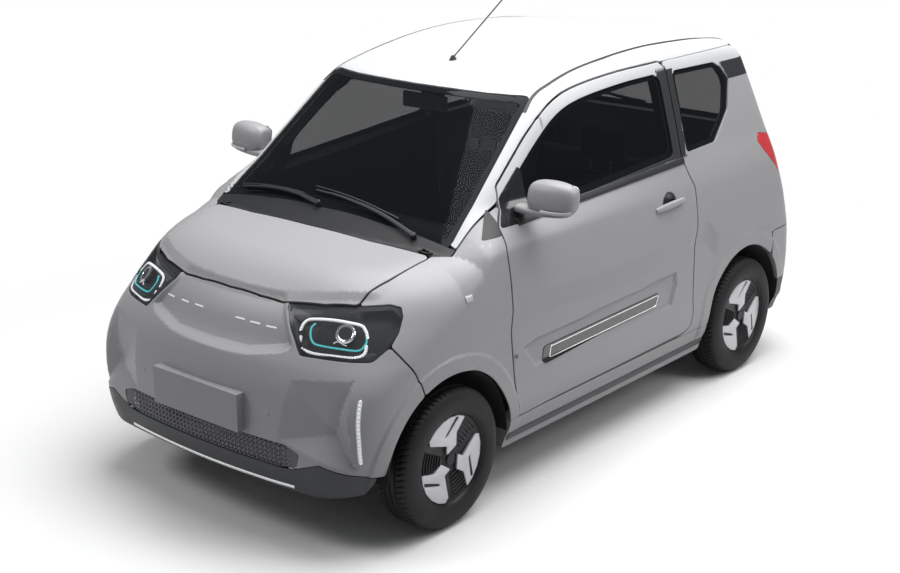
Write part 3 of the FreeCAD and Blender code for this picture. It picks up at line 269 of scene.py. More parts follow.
def rounded_max(first, second, reach):
    near = np.maximum(reach - np.abs(first - second), 0.0) / reach
    return np.maximum(first, second) + near * near * reach / 4


def smooth(part):
    part = np.clip(part, 0, 1)
    return part * part * (3 - 2 * part)


def bare_skin(p):
    x, y, z = np.abs(p[:, 0]), p[:, 1], p[:, 2]
    along = np.abs(y) / HALF_LENGTH
    wide = SIDE(z) * (1 - np.where(y < 0, 0.08, 0.03) * along ** 4)
    lead = np.maximum(CROWN_Y - y, 0) / 1100
    side = x - wide + 75 * lead ** 1.3 * smooth((z - BELT + 130) / 160)
    nose = FRONT_AXLE - y - (NOSE(z) - NOSE_BOW(z) * x * x)
    tail = y - REAR_AXLE - (TAIL(z) - 0.00004 * x * x)
    total = rounded_max(side, 0.93 * nose, NOSE_CORNER(z))
    total = rounded_max(total, 0.93 * tail, TAIL_CORNER(z))
    foot_y, foot_z = SCREEN_FOOT
    screen = foot_z + SCREEN_RISE * (y - foot_y) + SCREEN_BOW * (PILLAR_X ** 2 - x * x)
    bonnet = HOOD_LINE(y - FRONT_AXLE) - CAMBER * x * x
    back = y - CROWN_Y
    roof = ROOF - np.where(back < 0, 0.0001567, 0.00012) * back * back - CAMBER * x * x
    top = -rounded_max(-np.maximum(screen, bonnet), -roof, 30.0)
    past = y - FRONT_AXLE
    reach = np.where(past < 60, 150.0, np.where(past < 650, 150 - 90 * np.minimum((past - 60) / 150, 1),
                                                60 + 30 * np.clip((past - 650) / 100, 0, 1)
                                                - 30 * np.clip((past - 1700) / 300, 0, 1)))
    lean = np.where((past > 150) & (past < 700) & (z > 1000), 0.8, 0.97)
    return rounded_max(total, lean * (z - top), reach)


NEARLY_STRAIGHT = 3.12


def tidy(loop, radius):
    """An outline's points with each corner turned into a short arc."""
    made = []
    for i in range(len(loop)):
        corner, before, after = (np.array(loop[j % len(loop)], float) for j in (i, i - 1, i + 1))
        back, ahead = before - corner, after - corner
        long_back, long_ahead = np.linalg.norm(back), np.linalg.norm(ahead)
        back, ahead = back / long_back, ahead / long_ahead
        turn = math.acos(np.clip(back @ ahead, -1, 1))
        reach = radius / math.tan(turn / 2) if radius and turn < NEARLY_STRAIGHT else 0
        reach = min(reach, 0.45 * long_back, 0.45 * long_ahead)
        if reach < 0.5:
            made.append(corner)
            continue
        for t in (0, 0.25, 0.5, 0.75, 1):
            made.append((1 - t) ** 2 * (corner + back * reach) + 2 * t * (1 - t) * corner
                        + t * t * (corner + ahead * reach))
    return np.array(made)


VIEWS = {"side": [1, 2], "plan": [0, 1], "front": [0, 2]}


def outline(view, loop, radius=0.0, paired=False):
    """Distance from a closed outline drawn in one view, negative inside it."""
    start = tidy(loop, radius)
    way = np.roll(start, -1, 0) - start

    def field(p):
        q = p[:, VIEWS[view]]
        if paired:
            q = np.stack([np.abs(q[:, 0]), q[:, 1]], 1)
        gap = np.full(len(q), np.inf)
        inside = np.zeros(len(q), bool)
        for a, d in zip(start, way):
            r = q - a
            t = np.clip((r @ d) / (d @ d), 0, 1)
            gap = np.minimum(gap, ((r - t[:, None] * d) ** 2).sum(1))
            crosses = (r[:, 1] < 0) != (r[:, 1] < d[1])
            if d[1]:
                inside ^= crosses & (r[:, 0] < r[:, 1] * d[0] / d[1])
        return np.where(inside, -1, 1) * np.sqrt(gap)
    return field


def facet(corners):
    """Depth of a flat plate given by three (x, z, depth) corners seen from the front."""
    x, z, depth = np.array(corners, float).T
    return np.linalg.solve(np.stack([x, z, np.ones(3)], 1), depth)


POCKET = outline("side", [(-585, 578), (-520, 590), (474, 617), (486, 560), (450, 468), (-505, 474)],
                 radius=10)
MASK = outline("front", [(-200, 662), (190, 672), (330, 700), (372, 722), (285, 835), (262, 880),
                         (-200, 880)], radius=30, paired=True)
FLARE, TUCK, POCKET_DEPTH, MASK_DEPTH, RIDGE = 7, 14, 12, 20, 8
PIT_APEX, PIT = (567, 460, 52), [(619, 654, 0), (404, 629, 0), (371, 416, 0), (659, 347, 0)]
PIT_PLATES = [facet([PIT[k], PIT[(k + 1) % 4], PIT_APEX]) for k in range(4)]


def stamping(p):
    """How far the pressed forms stand out of the bare skin."""
    x, y, z = np.abs(p[:, 0]), p[:, 1], p[:, 2]
    sideways = smooth((x - 560) / 70)
    amount = np.zeros(len(p))
    for axle in (FRONT_AXLE, REAR_AXLE):
        away = np.hypot(y - axle, z - AXLE_HEIGHT)
        amount += FLARE * smooth((396 - away) / 12) * sideways * smooth((z - 230) / 60)
    below = np.clip(CREST(y) - z, 0, None)
    tuck = np.minimum(0.15 * np.maximum(below - 3, 0), TUCK) * smooth((z - 330) / 150)
    tuck *= smooth((y + 935) / 50) * (1 - smooth((y - 1150) / 200))
    amount -= tuck * sideways
    near = (x > 560) & (np.abs(y + 50) < 560) & (z > 450) & (z < 630)
    amount[near] -= POCKET_DEPTH * smooth(-POCKET(p[near]) / 15) * sideways[near]
    front = smooth((-1000 - y) / 120)
    near = (y < -1000) & (x < 400) & (z > 650) & (z < 890)
    low = 1 - smooth((z[near] - 700) / 170)
    amount[near] -= MASK_DEPTH * smooth(-MASK(p[near]) / 26) * (0.25 + 0.75 * low) * front[near]
    depth = np.minimum.reduce([a * x + b * z + c for a, b, c in PIT_PLATES])
    amount -= np.clip(depth, 0, None) * front
    off = y - (-1338 + 137 * (x / 515) ** 2.5)
    ridge = np.where(off < 0, 1 + off / 24, 1 - off / 220)
    amount += RIDGE * np.clip(ridge, 0, 1) * smooth((z - 815) / 30) * (1 - smooth((x - 520) / 50)) * front
    return amount


def skin(p):
    return bare_skin(p) - stamping(p)


FAR_OUT = 1400.0  # beyond the skin from any line's start


def meet(start, way, depth):
    """Points along lines from inside the car that lie depth under the skin."""
    def over(reach):
        return bare_skin(start + way * reach[:, None]) + depth

    low, high = np.zeros(len(start)), np.full(len(start), FAR_OUT)
    for turn in range(8):
        middle = (low + high) / 2
        out = over(middle) > 0
        high, low = np.where(out, middle, high), np.where(out, low, middle)
    first = over(low)
    slope = (over(high) - first) / (high - low)
    reach = low - first / slope
    for turn in range(3):
        reach = reach - over(reach) / slope
    for turn in range(4):
        reach = reach - (over(reach) - stamping(start + way * reach[:, None])) / slope
    return start + way * reach[:, None]


def uphill(field, p, step=0.6):
    moves = np.eye(3) * step
    grade = np.stack([field(p + move) - field(p - move) for move in moves], 1)
    return grade / np.maximum(np.linalg.norm(grade, axis=1), 1e-9)[:, None]


def arch_lines(x=0.0, z=620.0):
    """Lines that fan out from a line along the car: (station, angle)."""
    def lines(spots):
        turn = np.radians(spots[:, 1])
        start = np.stack([np.full(len(spots), x), spots[:, 0], np.full(len(spots), z)], 1)
        return start, np.stack([np.cos(turn), turn * 0, np.sin(turn)], 1)
    return lines


def post_lines(y, x=0.0):
    """Lines that fan out from an upright line: (angle, height)."""
    def lines(spots):
        turn = np.radians(spots[:, 0])
        start = np.stack([np.full(len(spots), x), np.full(len(spots), y), spots[:, 1]], 1)
        return start, np.stack([np.cos(turn), np.sin(turn), turn * 0], 1)
    return lines


def trim(spots, tris, field):
    """Cuts a net of triangles where a field turns positive."""
    out = field[tris] >= 0
    count = out.sum(1)
    made, pairs = [tris[count == 0]], []
    for odd, alone in ((1, True), (2, False)):
        some = tris[count == odd]
        turn = np.argmax(out[count == odd] == alone, 1)
        a, b, c = (some[np.arange(len(some)), (turn + k) % 3] for k in range(3))
        pairs.append((a, b, c))
    (o, p, q), (i, j, k) = pairs
    edges = np.concatenate([np.stack([o, p], 1), np.stack([o, q], 1), np.stack([i, j], 1),
                            np.stack([i, k], 1)])
    edges = np.sort(edges, 1)
    unique, back = np.unique(edges, axis=0, return_inverse=True)
    back = back.ravel() + len(spots)
    first, last = field[unique[:, 0]], field[unique[:, 1]]
    share = (first / (first - last))[:, None]
    new = spots[unique[:, 0]] * (1 - share) + spots[unique[:, 1]] * share
    n, m = len(o), len(i)
    op, oq, ij, ik = back[:n], back[n:2 * n], back[2 * n:2 * n + m], back[2 * n + m:]
    made += [np.stack([op, p, q], 1), np.stack([op, q, oq], 1), np.stack([i, ij, ik], 1)]
    tris = np.concatenate(made)
    used, tris = np.unique(tris, return_inverse=True)
    return np.concatenate([spots, new])[used], tris.reshape(-1, 3)


def settle(piece, body, replaces=()):
    """Puts a piece on its body and the CAD nodes that it stands for."""
    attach(piece, body)
    if replaces:
        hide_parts(*replaces)
    return piece


def build(name, points, faces, finish, body, replaces=(), normals=None, which=None, edge=None):
    """A mesh piece in millimetres, put on its body."""
    mesh = bpy.data.meshes.new(name)
    mesh.from_pydata((np.asarray(points) * MM).tolist(), [], [list(map(int, f)) for f in faces])
    for one in finish if isinstance(finish, list) else [finish]:
        mesh.materials.append(one.material)
    if which is not None:
        mesh.polygons.foreach_set("material_index", np.asarray(which, np.int32))
    mesh.polygons.foreach_set("use_smooth", np.ones(len(mesh.polygons), bool))
    if edge is not None:
        inset = mesh.attributes.new("edge", "FLOAT", "POINT")
        inset.data.foreach_set("value", np.asarray(edge, np.float32))
    mesh.update()
    if normals is not None:
        mesh.normals_split_custom_set_from_vertices(np.asarray(normals).tolist())
    return settle(linked(name, mesh), body, replaces)


def rim_of(tris):
    """Directed edges of a net of triangles that only one triangle uses."""
    edges = np.concatenate([tris[:, [0, 1]], tris[:, [1, 2]], tris[:, [2, 0]]])
    size = int(tris.max()) + 1
    return edges[~np.isin(edges[:, 0] * size + edges[:, 1], edges[:, 1] * size + edges[:, 0])]


def cells_of(index):
    """The four corners of each cell of a grid of point numbers."""
    return np.stack([index[:-1, :-1], index[1:, :-1], index[1:, 1:], index[:-1, 1:]], -1).reshape(-1, 4)


def panel_net(lines, us, vs, shape, depth, lip=1.6, base=0.0):
    """One panel with its rolled rim, wall and inner face: points, triangles, normals, edge distances."""
    u, v = np.meshgrid(us, vs, indexing="ij")
    spots = np.stack([u.ravel(), v.ravel()], 1)
    cells = cells_of(np.arange(u.size).reshape(u.shape))
    tris = np.concatenate([cells[:, [0, 1, 2]], cells[:, [0, 2, 3]]])
    points = meet(*lines(spots), base)
    spots, tris = trim(spots, tris, shape(points) + lip)
    points = meet(*lines(spots), base)
    normals = uphill(skin, points)
    first = tris[len(tris) // 2]
    a, b, c = points[first]
    if np.cross(b - a, c - a) @ normals[first[0]] < 0:
        tris = tris[:, ::-1]
    rim = rim_of(tris)
    around = np.unique(rim)
    place = np.full(len(points), -1)
    place[around] = np.arange(len(around))
    edge_point, edge_normal = points[around], normals[around]
    outward = uphill(shape, edge_point)
    outward -= (outward * edge_normal).sum(1)[:, None] * edge_normal
    outward /= np.maximum(np.linalg.norm(outward, axis=1), 1e-6)[:, None]
    inward = -uphill(bare_skin, points)
    inner = points + inward * depth
    rings, ring_normals = [], []
    for angle in (math.pi / 6, math.pi / 3, math.pi / 2):
        rings.append(edge_point + outward * lip * math.sin(angle) - edge_normal * lip * (1 - math.cos(angle)))
        ring_normals.append(edge_normal * math.cos(angle) + outward * math.sin(angle))
    rings.append(inner[around] + outward * lip)
    ring_normals.append(outward)
    count, step = len(points), len(around)
    everything = np.concatenate([points] + rings + [inner])
    all_normals = np.concatenate([normals] + ring_normals + [inward])
    bottom = count + len(rings) * step
    a, b = rim[:, 0], rim[:, 1]
    levels = [(a, b)] + [(low + place[a], low + place[b]) for low in range(count, bottom, step)]
    levels.append((bottom + a, bottom + b))
    net = [tris, tris[:, ::-1] + bottom]
    for (a0, b0), (a1, b1) in zip(levels[:-1], levels[1:]):
        net += [np.stack([b0, a0, a1], 1), np.stack([b0, a1, b1], 1)]
    away = -shape(points)
    edges = np.concatenate([away] + [np.zeros(step)] * len(rings) + [away])
    return everything, np.concatenate(net), all_normals, edges


def twin(net):
    """The same panel on the right side of the car."""
    points, tris, normals, edges = net
    return points * (-1, 1, 1), tris[:, ::-1], normals * (-1, 1, 1), edges


def pair(net):
    """A panel and its twin as one net."""
    other = twin(net)
    return tuple(np.concatenate([a, b + len(net[0]) if k == 1 else b])
                 for k, (a, b) in enumerate(zip(net, other)))


def panel(name, net, finish, body, replaces=(), pick=None):
    points, tris, normals, edges = net
    which = None if pick is None else pick(points[tris].mean(1))
    build(name, points, tris, finish, body, replaces, normals, which, edges)


def span(low, high, step):
    return np.linspace(low, high, int(round((high - low) / step)) + 1)


def both_sides(field, *others):
    return lambda p: np.maximum.reduce([field(p)] + [other(p) for other in others])


def apart(field, gap=0.0):
    """Keeps what lies outside an outline, clear of it by a gap."""
    return lambda p: gap - field(p)


def wider(field, by):
    return lambda p: field(p) - by


def block(x=None, y=None, z=None):
    """Distance from a box given by its limits, negative inside it."""
    def field(p):
        terms = []
        for axis, limits in enumerate((x, y, z)):
            if limits:
                terms += [limits[0] - p[:, axis], p[:, axis] - limits[1]]
        return np.maximum.reduce(terms)
    return field


def round_hole(y, radius=ARCH):
    return lambda p: np.hypot(p[:, 1] - y, p[:, 2] - AXLE_HEIGHT) - radius


GREY, WHITE = (0.355, 0.352, 0.362), (0.58, 0.59, 0.60)
PAINT = {"drift": (1.6, 0.02, 0.03), "Coat_Weight": 0.18, "Coat_Roughness": 0.3}
body_grey = Finish("body_grey", GREY, 0.46, grain=(2600.0, 0.0, 0.06, 0.0004), **PAINT)
roof_white = Finish("roof_white", WHITE, 0.46, grain=(2600.0, 0.0, 0.06, 0.00012), **PAINT)
black_trim = Finish("black_trim", (0.018, 0.019, 0.021), 0.5, drift=(30, 0.2, 0.06),
                    grain=(900.0, 2.0, 0.25, 0.0004))
gloss_black = Finish("gloss_black", (0.012, 0.013, 0.015), 0.16, drift=(4, 0.15, 0.03), Coat_Weight=0.6,
                     Coat_Roughness=0.05)
graphite = Finish("graphite", (0.019, 0.021, 0.025), 0.45, drift=(12, 0.1, 0.05),
                  grain=(700.0, 2.0, 0.15, 0.0004))


# Doors: one on each side, a pressed skin hung on two front hinges with its window frame in the
# roof's white, a black rear upright, and a moulded card on its inner side.
def along(rows, step=8.0, closed=False, soft=True):
    """Close points on a line through rows, smooth or straight between them."""
    rows = np.asarray(rows, float)
    if closed:
        ring = np.concatenate([rows[-1:], rows, rows[:2]])
    else:
        ring = np.concatenate([2 * rows[:1] - rows[1:2], rows, 2 * rows[-1:] - rows[-2:-1]])
    made = []
    for a, b, c, d in zip(ring[:-3], ring[1:-2], ring[2:-1], ring[3:]):
        count = max(int(np.linalg.norm(c - b) / step), 1)
        for t in np.arange(count) / count:
            bend = (2 * a - 5 * b + 4 * c - d) * t * t + (3 * b - a - 3 * c + d) * t ** 3
            made.append((2 * b + (c - a) * t + bend) / 2 if soft else b + (c - b) * t)
    if not closed:
        made.append(rows[-1])
    return np.array(made)


DOOR_LOOP = [(-601, 312), (-618, 379), (-655, 640), (-672, 800), (-682, 960), (-655, 1040), (-600, 1085)]
DOOR_LOOP += along([(-577, 1162), (-474, 1242), (-352, 1333), (-221, 1406), (-77, 1446), (182, 1472),
                    (490, 1480)], step=45).tolist()
DOOR_LOOP += [(526, 1450), (533, 1088), (556, 1026), (591, 959), (604, 770), (623, 406), (600, 340),
              (545, 325), (-411, 319)]
DOOR = outline("side", DOOR_LOOP, radius=12)
WINDOW_TOP = along([(-495, 1175), (-458, 1206), (-327, 1299), (-200, 1370), (-52, 1408), (215, 1432),
                    (438, 1438)], step=45)
DOOR_WINDOW = outline("side", [(-500, 1045)] + WINDOW_TOP.tolist()
                      + [(472, 1415), (480, 1105), (-470, 1045)], radius=25)
PANEL_GAP = 6
CUP_Y, CUP_Z, CUP_RADIUS = 390, 925, 52
CUP = outline("side", [(CUP_Y + CUP_RADIUS * math.cos(t), CUP_Z + CUP_RADIUS * math.sin(t))
                       for t in np.linspace(0, math.pi, 17)])


def door_paint(centres):
    y, z = centres[:, 1], centres[:, 2]
    upper = (z > 1060 + 0.06 * y) & ((y > -560) | (z > 1085))
    black = ((y > 455) & (z < 1452)) | ((z < 1112) & (y > -450))
    return np.where(upper & black, 2, np.where(upper, 1, 0))


door_skin = panel_net(arch_lines(), span(-700, 640, 10), span(-26, 64, 0.9),
                      both_sides(DOOR, apart(DOOR_WINDOW), apart(CUP)), depth=16)
door_card = panel_net(arch_lines(), span(-700, 640, 20), span(-24, 62, 1.7),
                      both_sides(wider(DOOR, by=-16), apart(DOOR_WINDOW)), depth=42, lip=1.5, base=17.0)
door_pane = panel_net(arch_lines(), span(-520, 500, 20), span(18, 64, 1.4), wider(DOOR_WINDOW, by=4),
                      depth=4, lip=0.5, base=8.0)

BORDER = 26  # width of the opaque band along each pane's edge
glass = Finish("tinted_glass", (0.010, 0.012, 0.014), 0.04, Specular_IOR_Level=0.07)
border = glass.node("ShaderNodeAttribute", {"attribute_name": "edge"}, {}, "Fac")
dots = glass.noise(40.0, 1.0)
glass.feed("Alpha", (border < BORDER) * 0.53 + 0.45 + dots * 0.01)
glass.feed("Roughness", dots * 0.02 + 0.03)
for side, turn in (("left", tuple), ("right", twin)):
    door = "door_" + side
    panel("door_skin_" + side, turn(door_skin), [body_grey, roof_white, black_trim], door,
          [door], door_paint)
    panel("door_card_" + side, turn(door_card), graphite, door)
    panel("door_pane_" + side, turn(door_pane), glass, door, ["door_glass_" + side])


# Bonnet: a pressed steel lid from the windscreen's foot to the lamps, painted with the body and hinged
# at its rear edge.
BONNET_HALF = [(0, -1354), (150, -1349), (275, -1336), (409, -1296), (512, -1243), (522, -1190),
               (540, -1109), (556, -912), (300, -952), (0, -962)]
BONNET = outline("plan", BONNET_HALF + [(-x, y) for x, y in reversed(BONNET_HALF[1:-1])], radius=20)
bonnet_net = panel_net(arch_lines(), span(-1420, -880, 7), span(25, 155, 0.9),
                       both_sides(BONNET, block(z=(800, 1100))), depth=14)
panel("bonnet_skin", bonnet_net, body_grey, "hood", ["hood"])


# Front wings: pressed steel from the nose moulding to the door, painted with the body, bolted along
# the bonnet's edge and opened round the wheel.
BUMPER_LINE = [(-1290, 100), (-1140, 560), (-1175, 640), (-1215, 700), (-1290, 850), (-1400, 1100),
               (-1700, 1100), (-1700, 100)]
BUMPER = outline("side", BUMPER_LINE)
LAMP = outline("front", [(268, 846), (596, 867), (628, 858), (647, 830), (660, 785), (662, 745), (640, 705),
                         (400, 704)], radius=16, paired=True)
INBOARD = outline("plan", [(0, -1500), (0, -500), (612, -500), (612, -860), (563, -906), (300, -1500)])
wing = panel_net(arch_lines(300.0, 600.0), span(-1320, -590, 9), span(-38, 58, 0.95), both_sides(
    apart(round_hole(FRONT_AXLE)), apart(DOOR, gap=PANEL_GAP), apart(BONNET, gap=PANEL_GAP), apart(BUMPER),
    apart(LAMP), apart(INBOARD), apart(block(z=(0, 312), y=(-700, 900)))), depth=5)
panel("wing_skins", pair(wing), body_grey, "shell", ["front_wings"])


# Sills: hollow steel beams under the doors, welded to the floor between the wheel arches and painted
# with the body.
sill = panel_net(arch_lines(), span(-740, 860, 20), span(-32, -19, 1.0), both_sides(
    block(y=(-740, 860), z=(190, 311)), apart(round_hole(FRONT_AXLE)), apart(round_hole(REAR_AXLE)),
    apart(DOOR, gap=PANEL_GAP)), depth=60)
panel("sill_skins", pair(sill), body_grey, "shell", ["sills"])


# Rear quarters: pressed steel sides from the doors round to the tailgate, with the rear wheel arches,
# the side windows, a black strip behind the door and a dark accent high on the rear pillar.
QUARTER_WINDOW = outline("side", [(572, 1436), (905, 1430), (960, 1402), (1010, 1345), (960, 1225),
                                  (815, 1110), (580, 1102)], radius=25)
TAIL_LAMP = outline("side", [(1182, 1091), (1325, 1063), (1375, 899), (1354, 876), (1215, 1003),
                             (1166, 1056)], radius=10)
ACCENT = outline("side", [(955, 1424), (1400, 1424), (1400, 1349), (1008, 1349)])


def quarter_paint(centres):
    strip = (centres[:, 1] < 574) & (centres[:, 2] > 1088)
    high = (centres[:, 2] > 1424) | ((centres[:, 2] > 1349) & (centres[:, 1] < 945))
    rest = np.where(strip & (centres[:, 2] < 1448), 2, np.where(high, 1, 0))
    return np.where(ACCENT(centres) < 0, 3, rest)


quarter = panel_net(post_lines(*SIDE_POST), span(-58, 88, 1.4), span(240, 1479, 11), both_sides(
    apart(round_hole(REAR_AXLE)), apart(DOOR, gap=PANEL_GAP), apart(QUARTER_WINDOW), apart(TAIL_LAMP),
    apart(block(y=(-700, 860), z=(0, 312))), apart(block(x=(-900, 566), y=(850, 2000))),
    apart(block(y=(1300, 2000), z=(0, 620))), block(y=(505, 2000), z=(236, 1479.5))), depth=40)
panel("quarter_skins", pair(quarter), [body_grey, roof_white, black_trim, graphite], "shell",
      ["quarter_panels"], quarter_paint)
pane = panel_net(arch_lines(), span(540, 1040, 15), span(22, 64, 1.0), wider(QUARTER_WINDOW, by=4),
                 depth=4, lip=0.5, base=8.0)
panel("quarter_panes", pair(pane), glass, "shell", ["quarter_glass"])


# Roof and its frame: white painted steel, with the windscreen pillars welded to the rails, a roof panel
# let into them, and a windscreen that is bonded in.
SCREEN_HALF = [(0, -885), (160, -882), (300, -872), (450, -857), (585, -840), (505, -262), (420, -293),
               (330, -318), (230, -335), (120, -347), (0, -352)]
SCREEN = outline("plan", SCREEN_HALF + [(-x, y) for x, y in reversed(SCREEN_HALF[1:-1])], radius=25)
ROOF_PANEL = outline("plan", [(-505, -200), (505, -200), (505, 1120), (-505, 1120)], radius=30)
frame_net = panel_net(arch_lines(), span(-850, 1180, 12), span(28, 152, 1.0), both_sides(
    apart(SCREEN), apart(ROOF_PANEL), apart(DOOR, gap=PANEL_GAP),
    apart(block(x=(-505, 505), y=(-1000, -834))), block(y=(-834, 1188)),
    apart(block(x=(606, 2000), y=(-2000, -560))), apart(block(x=(-2000, -606), y=(-2000, -560))),
    apart(block(y=(480, 2000), z=(100, 1480.3)))), depth=28)
panel("roof_frame", frame_net, roof_white, "shell", ["upper_frame"])
roof_net = panel_net(arch_lines(), span(-380, 1180, 19), span(50, 130, 1.5), both_sides(
    wider(ROOF_PANEL, by=-0.5), apart(SCREEN, gap=0.5)), depth=20)
panel("roof_skin", roof_net, roof_white, "shell", ["roof_panel"])
screen_net = panel_net(arch_lines(), span(-960, -230, 16), span(28, 152, 1.8), wider(SCREEN, by=-0.6),
                       depth=5, lip=0.5, base=4.0)
panel("windscreen", screen_net, glass, "shell", ["windshield"])


# Nose: one soft plastic moulding with the mask between the lamps, the corner facets and the opening for
# the lower grille, clipped to the wings over a dark plastic chin.
GRILLE = outline("front", [(-372, 312), (372, 312), (451, 331), (463, 381), (400, 403), (-400, 403),
                           (-463, 381), (-451, 331)], radius=15)
HORN = [(378, 312), (432, 317), (545, 361), (658, 330), (760, 292)]
NOSE_FOOT = outline("front", HORN + [(760, 100), (-760, 100)] + [(-x, z) for x, z in reversed(HORN)])
nose = panel_net(post_lines(*FRONT_POST), span(-172, -8, 0.55), span(262, 900, 6.5), both_sides(
    wider(BUMPER, by=-PANEL_GAP), apart(LAMP), apart(BONNET, gap=3), apart(GRILLE),
    apart(round_hole(FRONT_AXLE)), apart(NOSE_FOOT)), depth=26)
panel("nose_moulding", nose, body_grey, "shell", ["front_bumper"])
CHIN_HALF = HORN[:4] + [(700, 316), (688, 285), (661, 247), (540, 228)]
CHIN = outline("front", CHIN_HALF + [(-x, z) for x, z in reversed(CHIN_HALF)])
chin = panel_net(post_lines(*FRONT_POST), span(-170, -10, 0.8), span(210, 375, 6), both_sides(
    wider(CHIN, by=-1), apart(round_hole(FRONT_AXLE))), depth=20, lip=2.5, base=-1.0)
panel("chin_moulding", chin, graphite, "shell", ["front_valance"])


# Tailgate and rear bumper: a pressed steel lid hinged at the roof's rear edge with a bonded glass, over
# a plastic bumper that is painted above and dark at its foot.
REAR_WINDOW = outline("front", [(-470, 1090), (470, 1090), (440, 1410), (-440, 1410)], radius=40)
TAILGATE = outline("front", [(-560, 628), (560, 628), (560, 1100), (520, 1468), (-520, 1468),
                             (-560, 1100)], radius=20)
lid = panel_net(post_lines(*REAR_POST), span(20, 160, 1.2), span(615, 1472, 12), both_sides(
    TAILGATE, apart(REAR_WINDOW)), depth=34)
panel("tailgate_skin", lid, body_grey, "tailgate", ["tailgate"])
lid_pane = panel_net(post_lines(*REAR_POST), span(30, 150, 1.7), span(1080, 1420, 16),
                     wider(REAR_WINDOW, by=4), depth=4, lip=0.5, base=6.0)
panel("tailgate_pane", lid_pane, glass, "tailgate", ["tailgate_glass"])
rear = panel_net(post_lines(*REAR_POST), span(-10, 190, 1.2), span(200, 620, 10), both_sides(
    block(y=(1306, 1700), z=(200, 614)), apart(round_hole(REAR_AXLE))), depth=26)
panel("rear_moulding", rear, [body_grey, graphite], "shell", ["rear_bumper"],
      lambda spots: np.where(spots[:, 2] < 330 + 0.00008 * spots[:, 0] ** 2, 1, 0))


# Headlamps: a dark smoked housing under a clear lens that wraps round the corner, with a projector in
# a chrome ring, a segmented white ring round it and a thin turquoise line inside.
def shell(name, parts, finish, body, replaces=(), angle=35.0):
    """Several closed forms as one piece, welded, turned outwards, with its sharp edges kept."""
    points, faces, which, count = [], [], [], 0
    for part in parts:
        points.append(np.asarray(part[0], float))
        faces += [[int(k) + count for k in face] for face in part[1]]
        which += [part[2] if len(part) > 2 else 0] * len(part[1])
        count += len(part[0])
    piece = build(name, np.concatenate(points), faces, finish, body, replaces, None, which)
    net = bmesh.new()
    net.from_mesh(piece.data)
    bmesh.ops.remove_doubles(net, verts=net.verts, dist=0.00001)
    bmesh.ops.recalc_face_normals(net, faces=net.faces)
    net.to_mesh(piece.data)
    net.free()
    piece.data.set_sharp_from_angle(angle=math.radians(angle))


FRONT_START, BACK_START, TOP_START = -600, 700, 600  # planes inside the car that lines start from


def on_skin(rows, start, way, lift):
    points = meet(start, np.tile(np.array(way, float), (len(rows), 1)), 0.0)
    ways = uphill(skin, points, 3.0)
    return points + ways * np.broadcast_to(lift, len(points))[:, None], ways


def on_side(rows, lift=0.0):
    """Points on the left side of the body from their (y, z), and the way out there."""
    y, z = np.asarray(rows, float).T
    return on_skin(rows, np.stack([y * 0, y, z], 1), (1, 0, 0), lift)


def on_front(rows, lift=0.0):
    x, z = np.asarray(rows, float).T
    return on_skin(rows, np.stack([x, x * 0 + FRONT_START, z], 1), (0, -1, 0), lift)


def on_back(rows, lift=0.0):
    x, z = np.asarray(rows, float).T
    return on_skin(rows, np.stack([x, x * 0 + BACK_START, z], 1), (0, 1, 0), lift)


def on_top(rows, lift=0.0):
    x, y = np.asarray(rows, float).T
    return on_skin(rows, np.stack([x, y, x * 0 + TOP_START], 1), (0, 0, 1), lift)


BEAD = np.array([(-1, 0), (-1, 0.55), (-0.72, 0.93), (-0.3, 1), (0.3, 1), (0.72, 0.93), (1, 0.55), (1, 0)])


def strip(laid, wide, thick, closed=False, sink=1.5):
    """A bead along a line on a surface, standing over it and sunk a little into it."""
    path, ways = laid
    move = np.roll(path, -1, 0) - np.roll(path, 1, 0) if closed else np.gradient(path, axis=0)
    side = np.cross(move, ways)
    side /= np.linalg.norm(side, axis=1)[:, None]
    wide, thick = np.broadcast_to(wide, len(path)), np.broadcast_to(thick, len(path))
    rows = [path + side * (a * wide / 2)[:, None] + ways * (h * (thick + sink) - sink)[:, None]
            for a, h in BEAD]
    count, ring = len(path), len(BEAD)
    faces = []
    for i in range(count if closed else count - 1):
        here, there = i * ring, (i + 1) % count * ring
        faces += [(here + j, here + (j + 1) % ring, there + (j + 1) % ring, there + j) for j in range(ring)]
    if not closed:
        faces += [tuple(range(ring)), tuple(range((count - 1) * ring, count * ring))[::-1]]
    return np.stack(rows, 1).reshape(-1, 3), faces


def other_side(parts):
    return [(part[0] * (-1, 1, 1), *part[1:]) for part in parts]


def both(*parts):
    """Parts and their likes on the car's right side."""
    return list(parts) + other_side(parts)


def lathe(rows, centre, way, steps):
    """A form turned about an axis from its (along, radius) rows, which start and end on it or meet."""
    way = Vector(way).normalized()
    flat = way.orthogonal().normalized()
    third = way.cross(flat)
    points, faces = [], []
    for k in range(steps):
        turn = 2 * math.pi * k / steps
        out = flat * math.cos(turn) + third * math.sin(turn)
        points += [Vector(centre) + way * a + out * r for a, r in rows]
    count = len(rows)
    for k in range(steps):
        here, there = k * count, (k + 1) % steps * count
        faces += [(here + j, here + j + 1, there + j + 1, there + j) for j in range(count - 1)]
        if rows[0] != rows[-1] and rows[0][1] > 0:
            faces.append((here + count - 1, here, there, there + count - 1))
    return np.array([tuple(p) for p in points]), faces


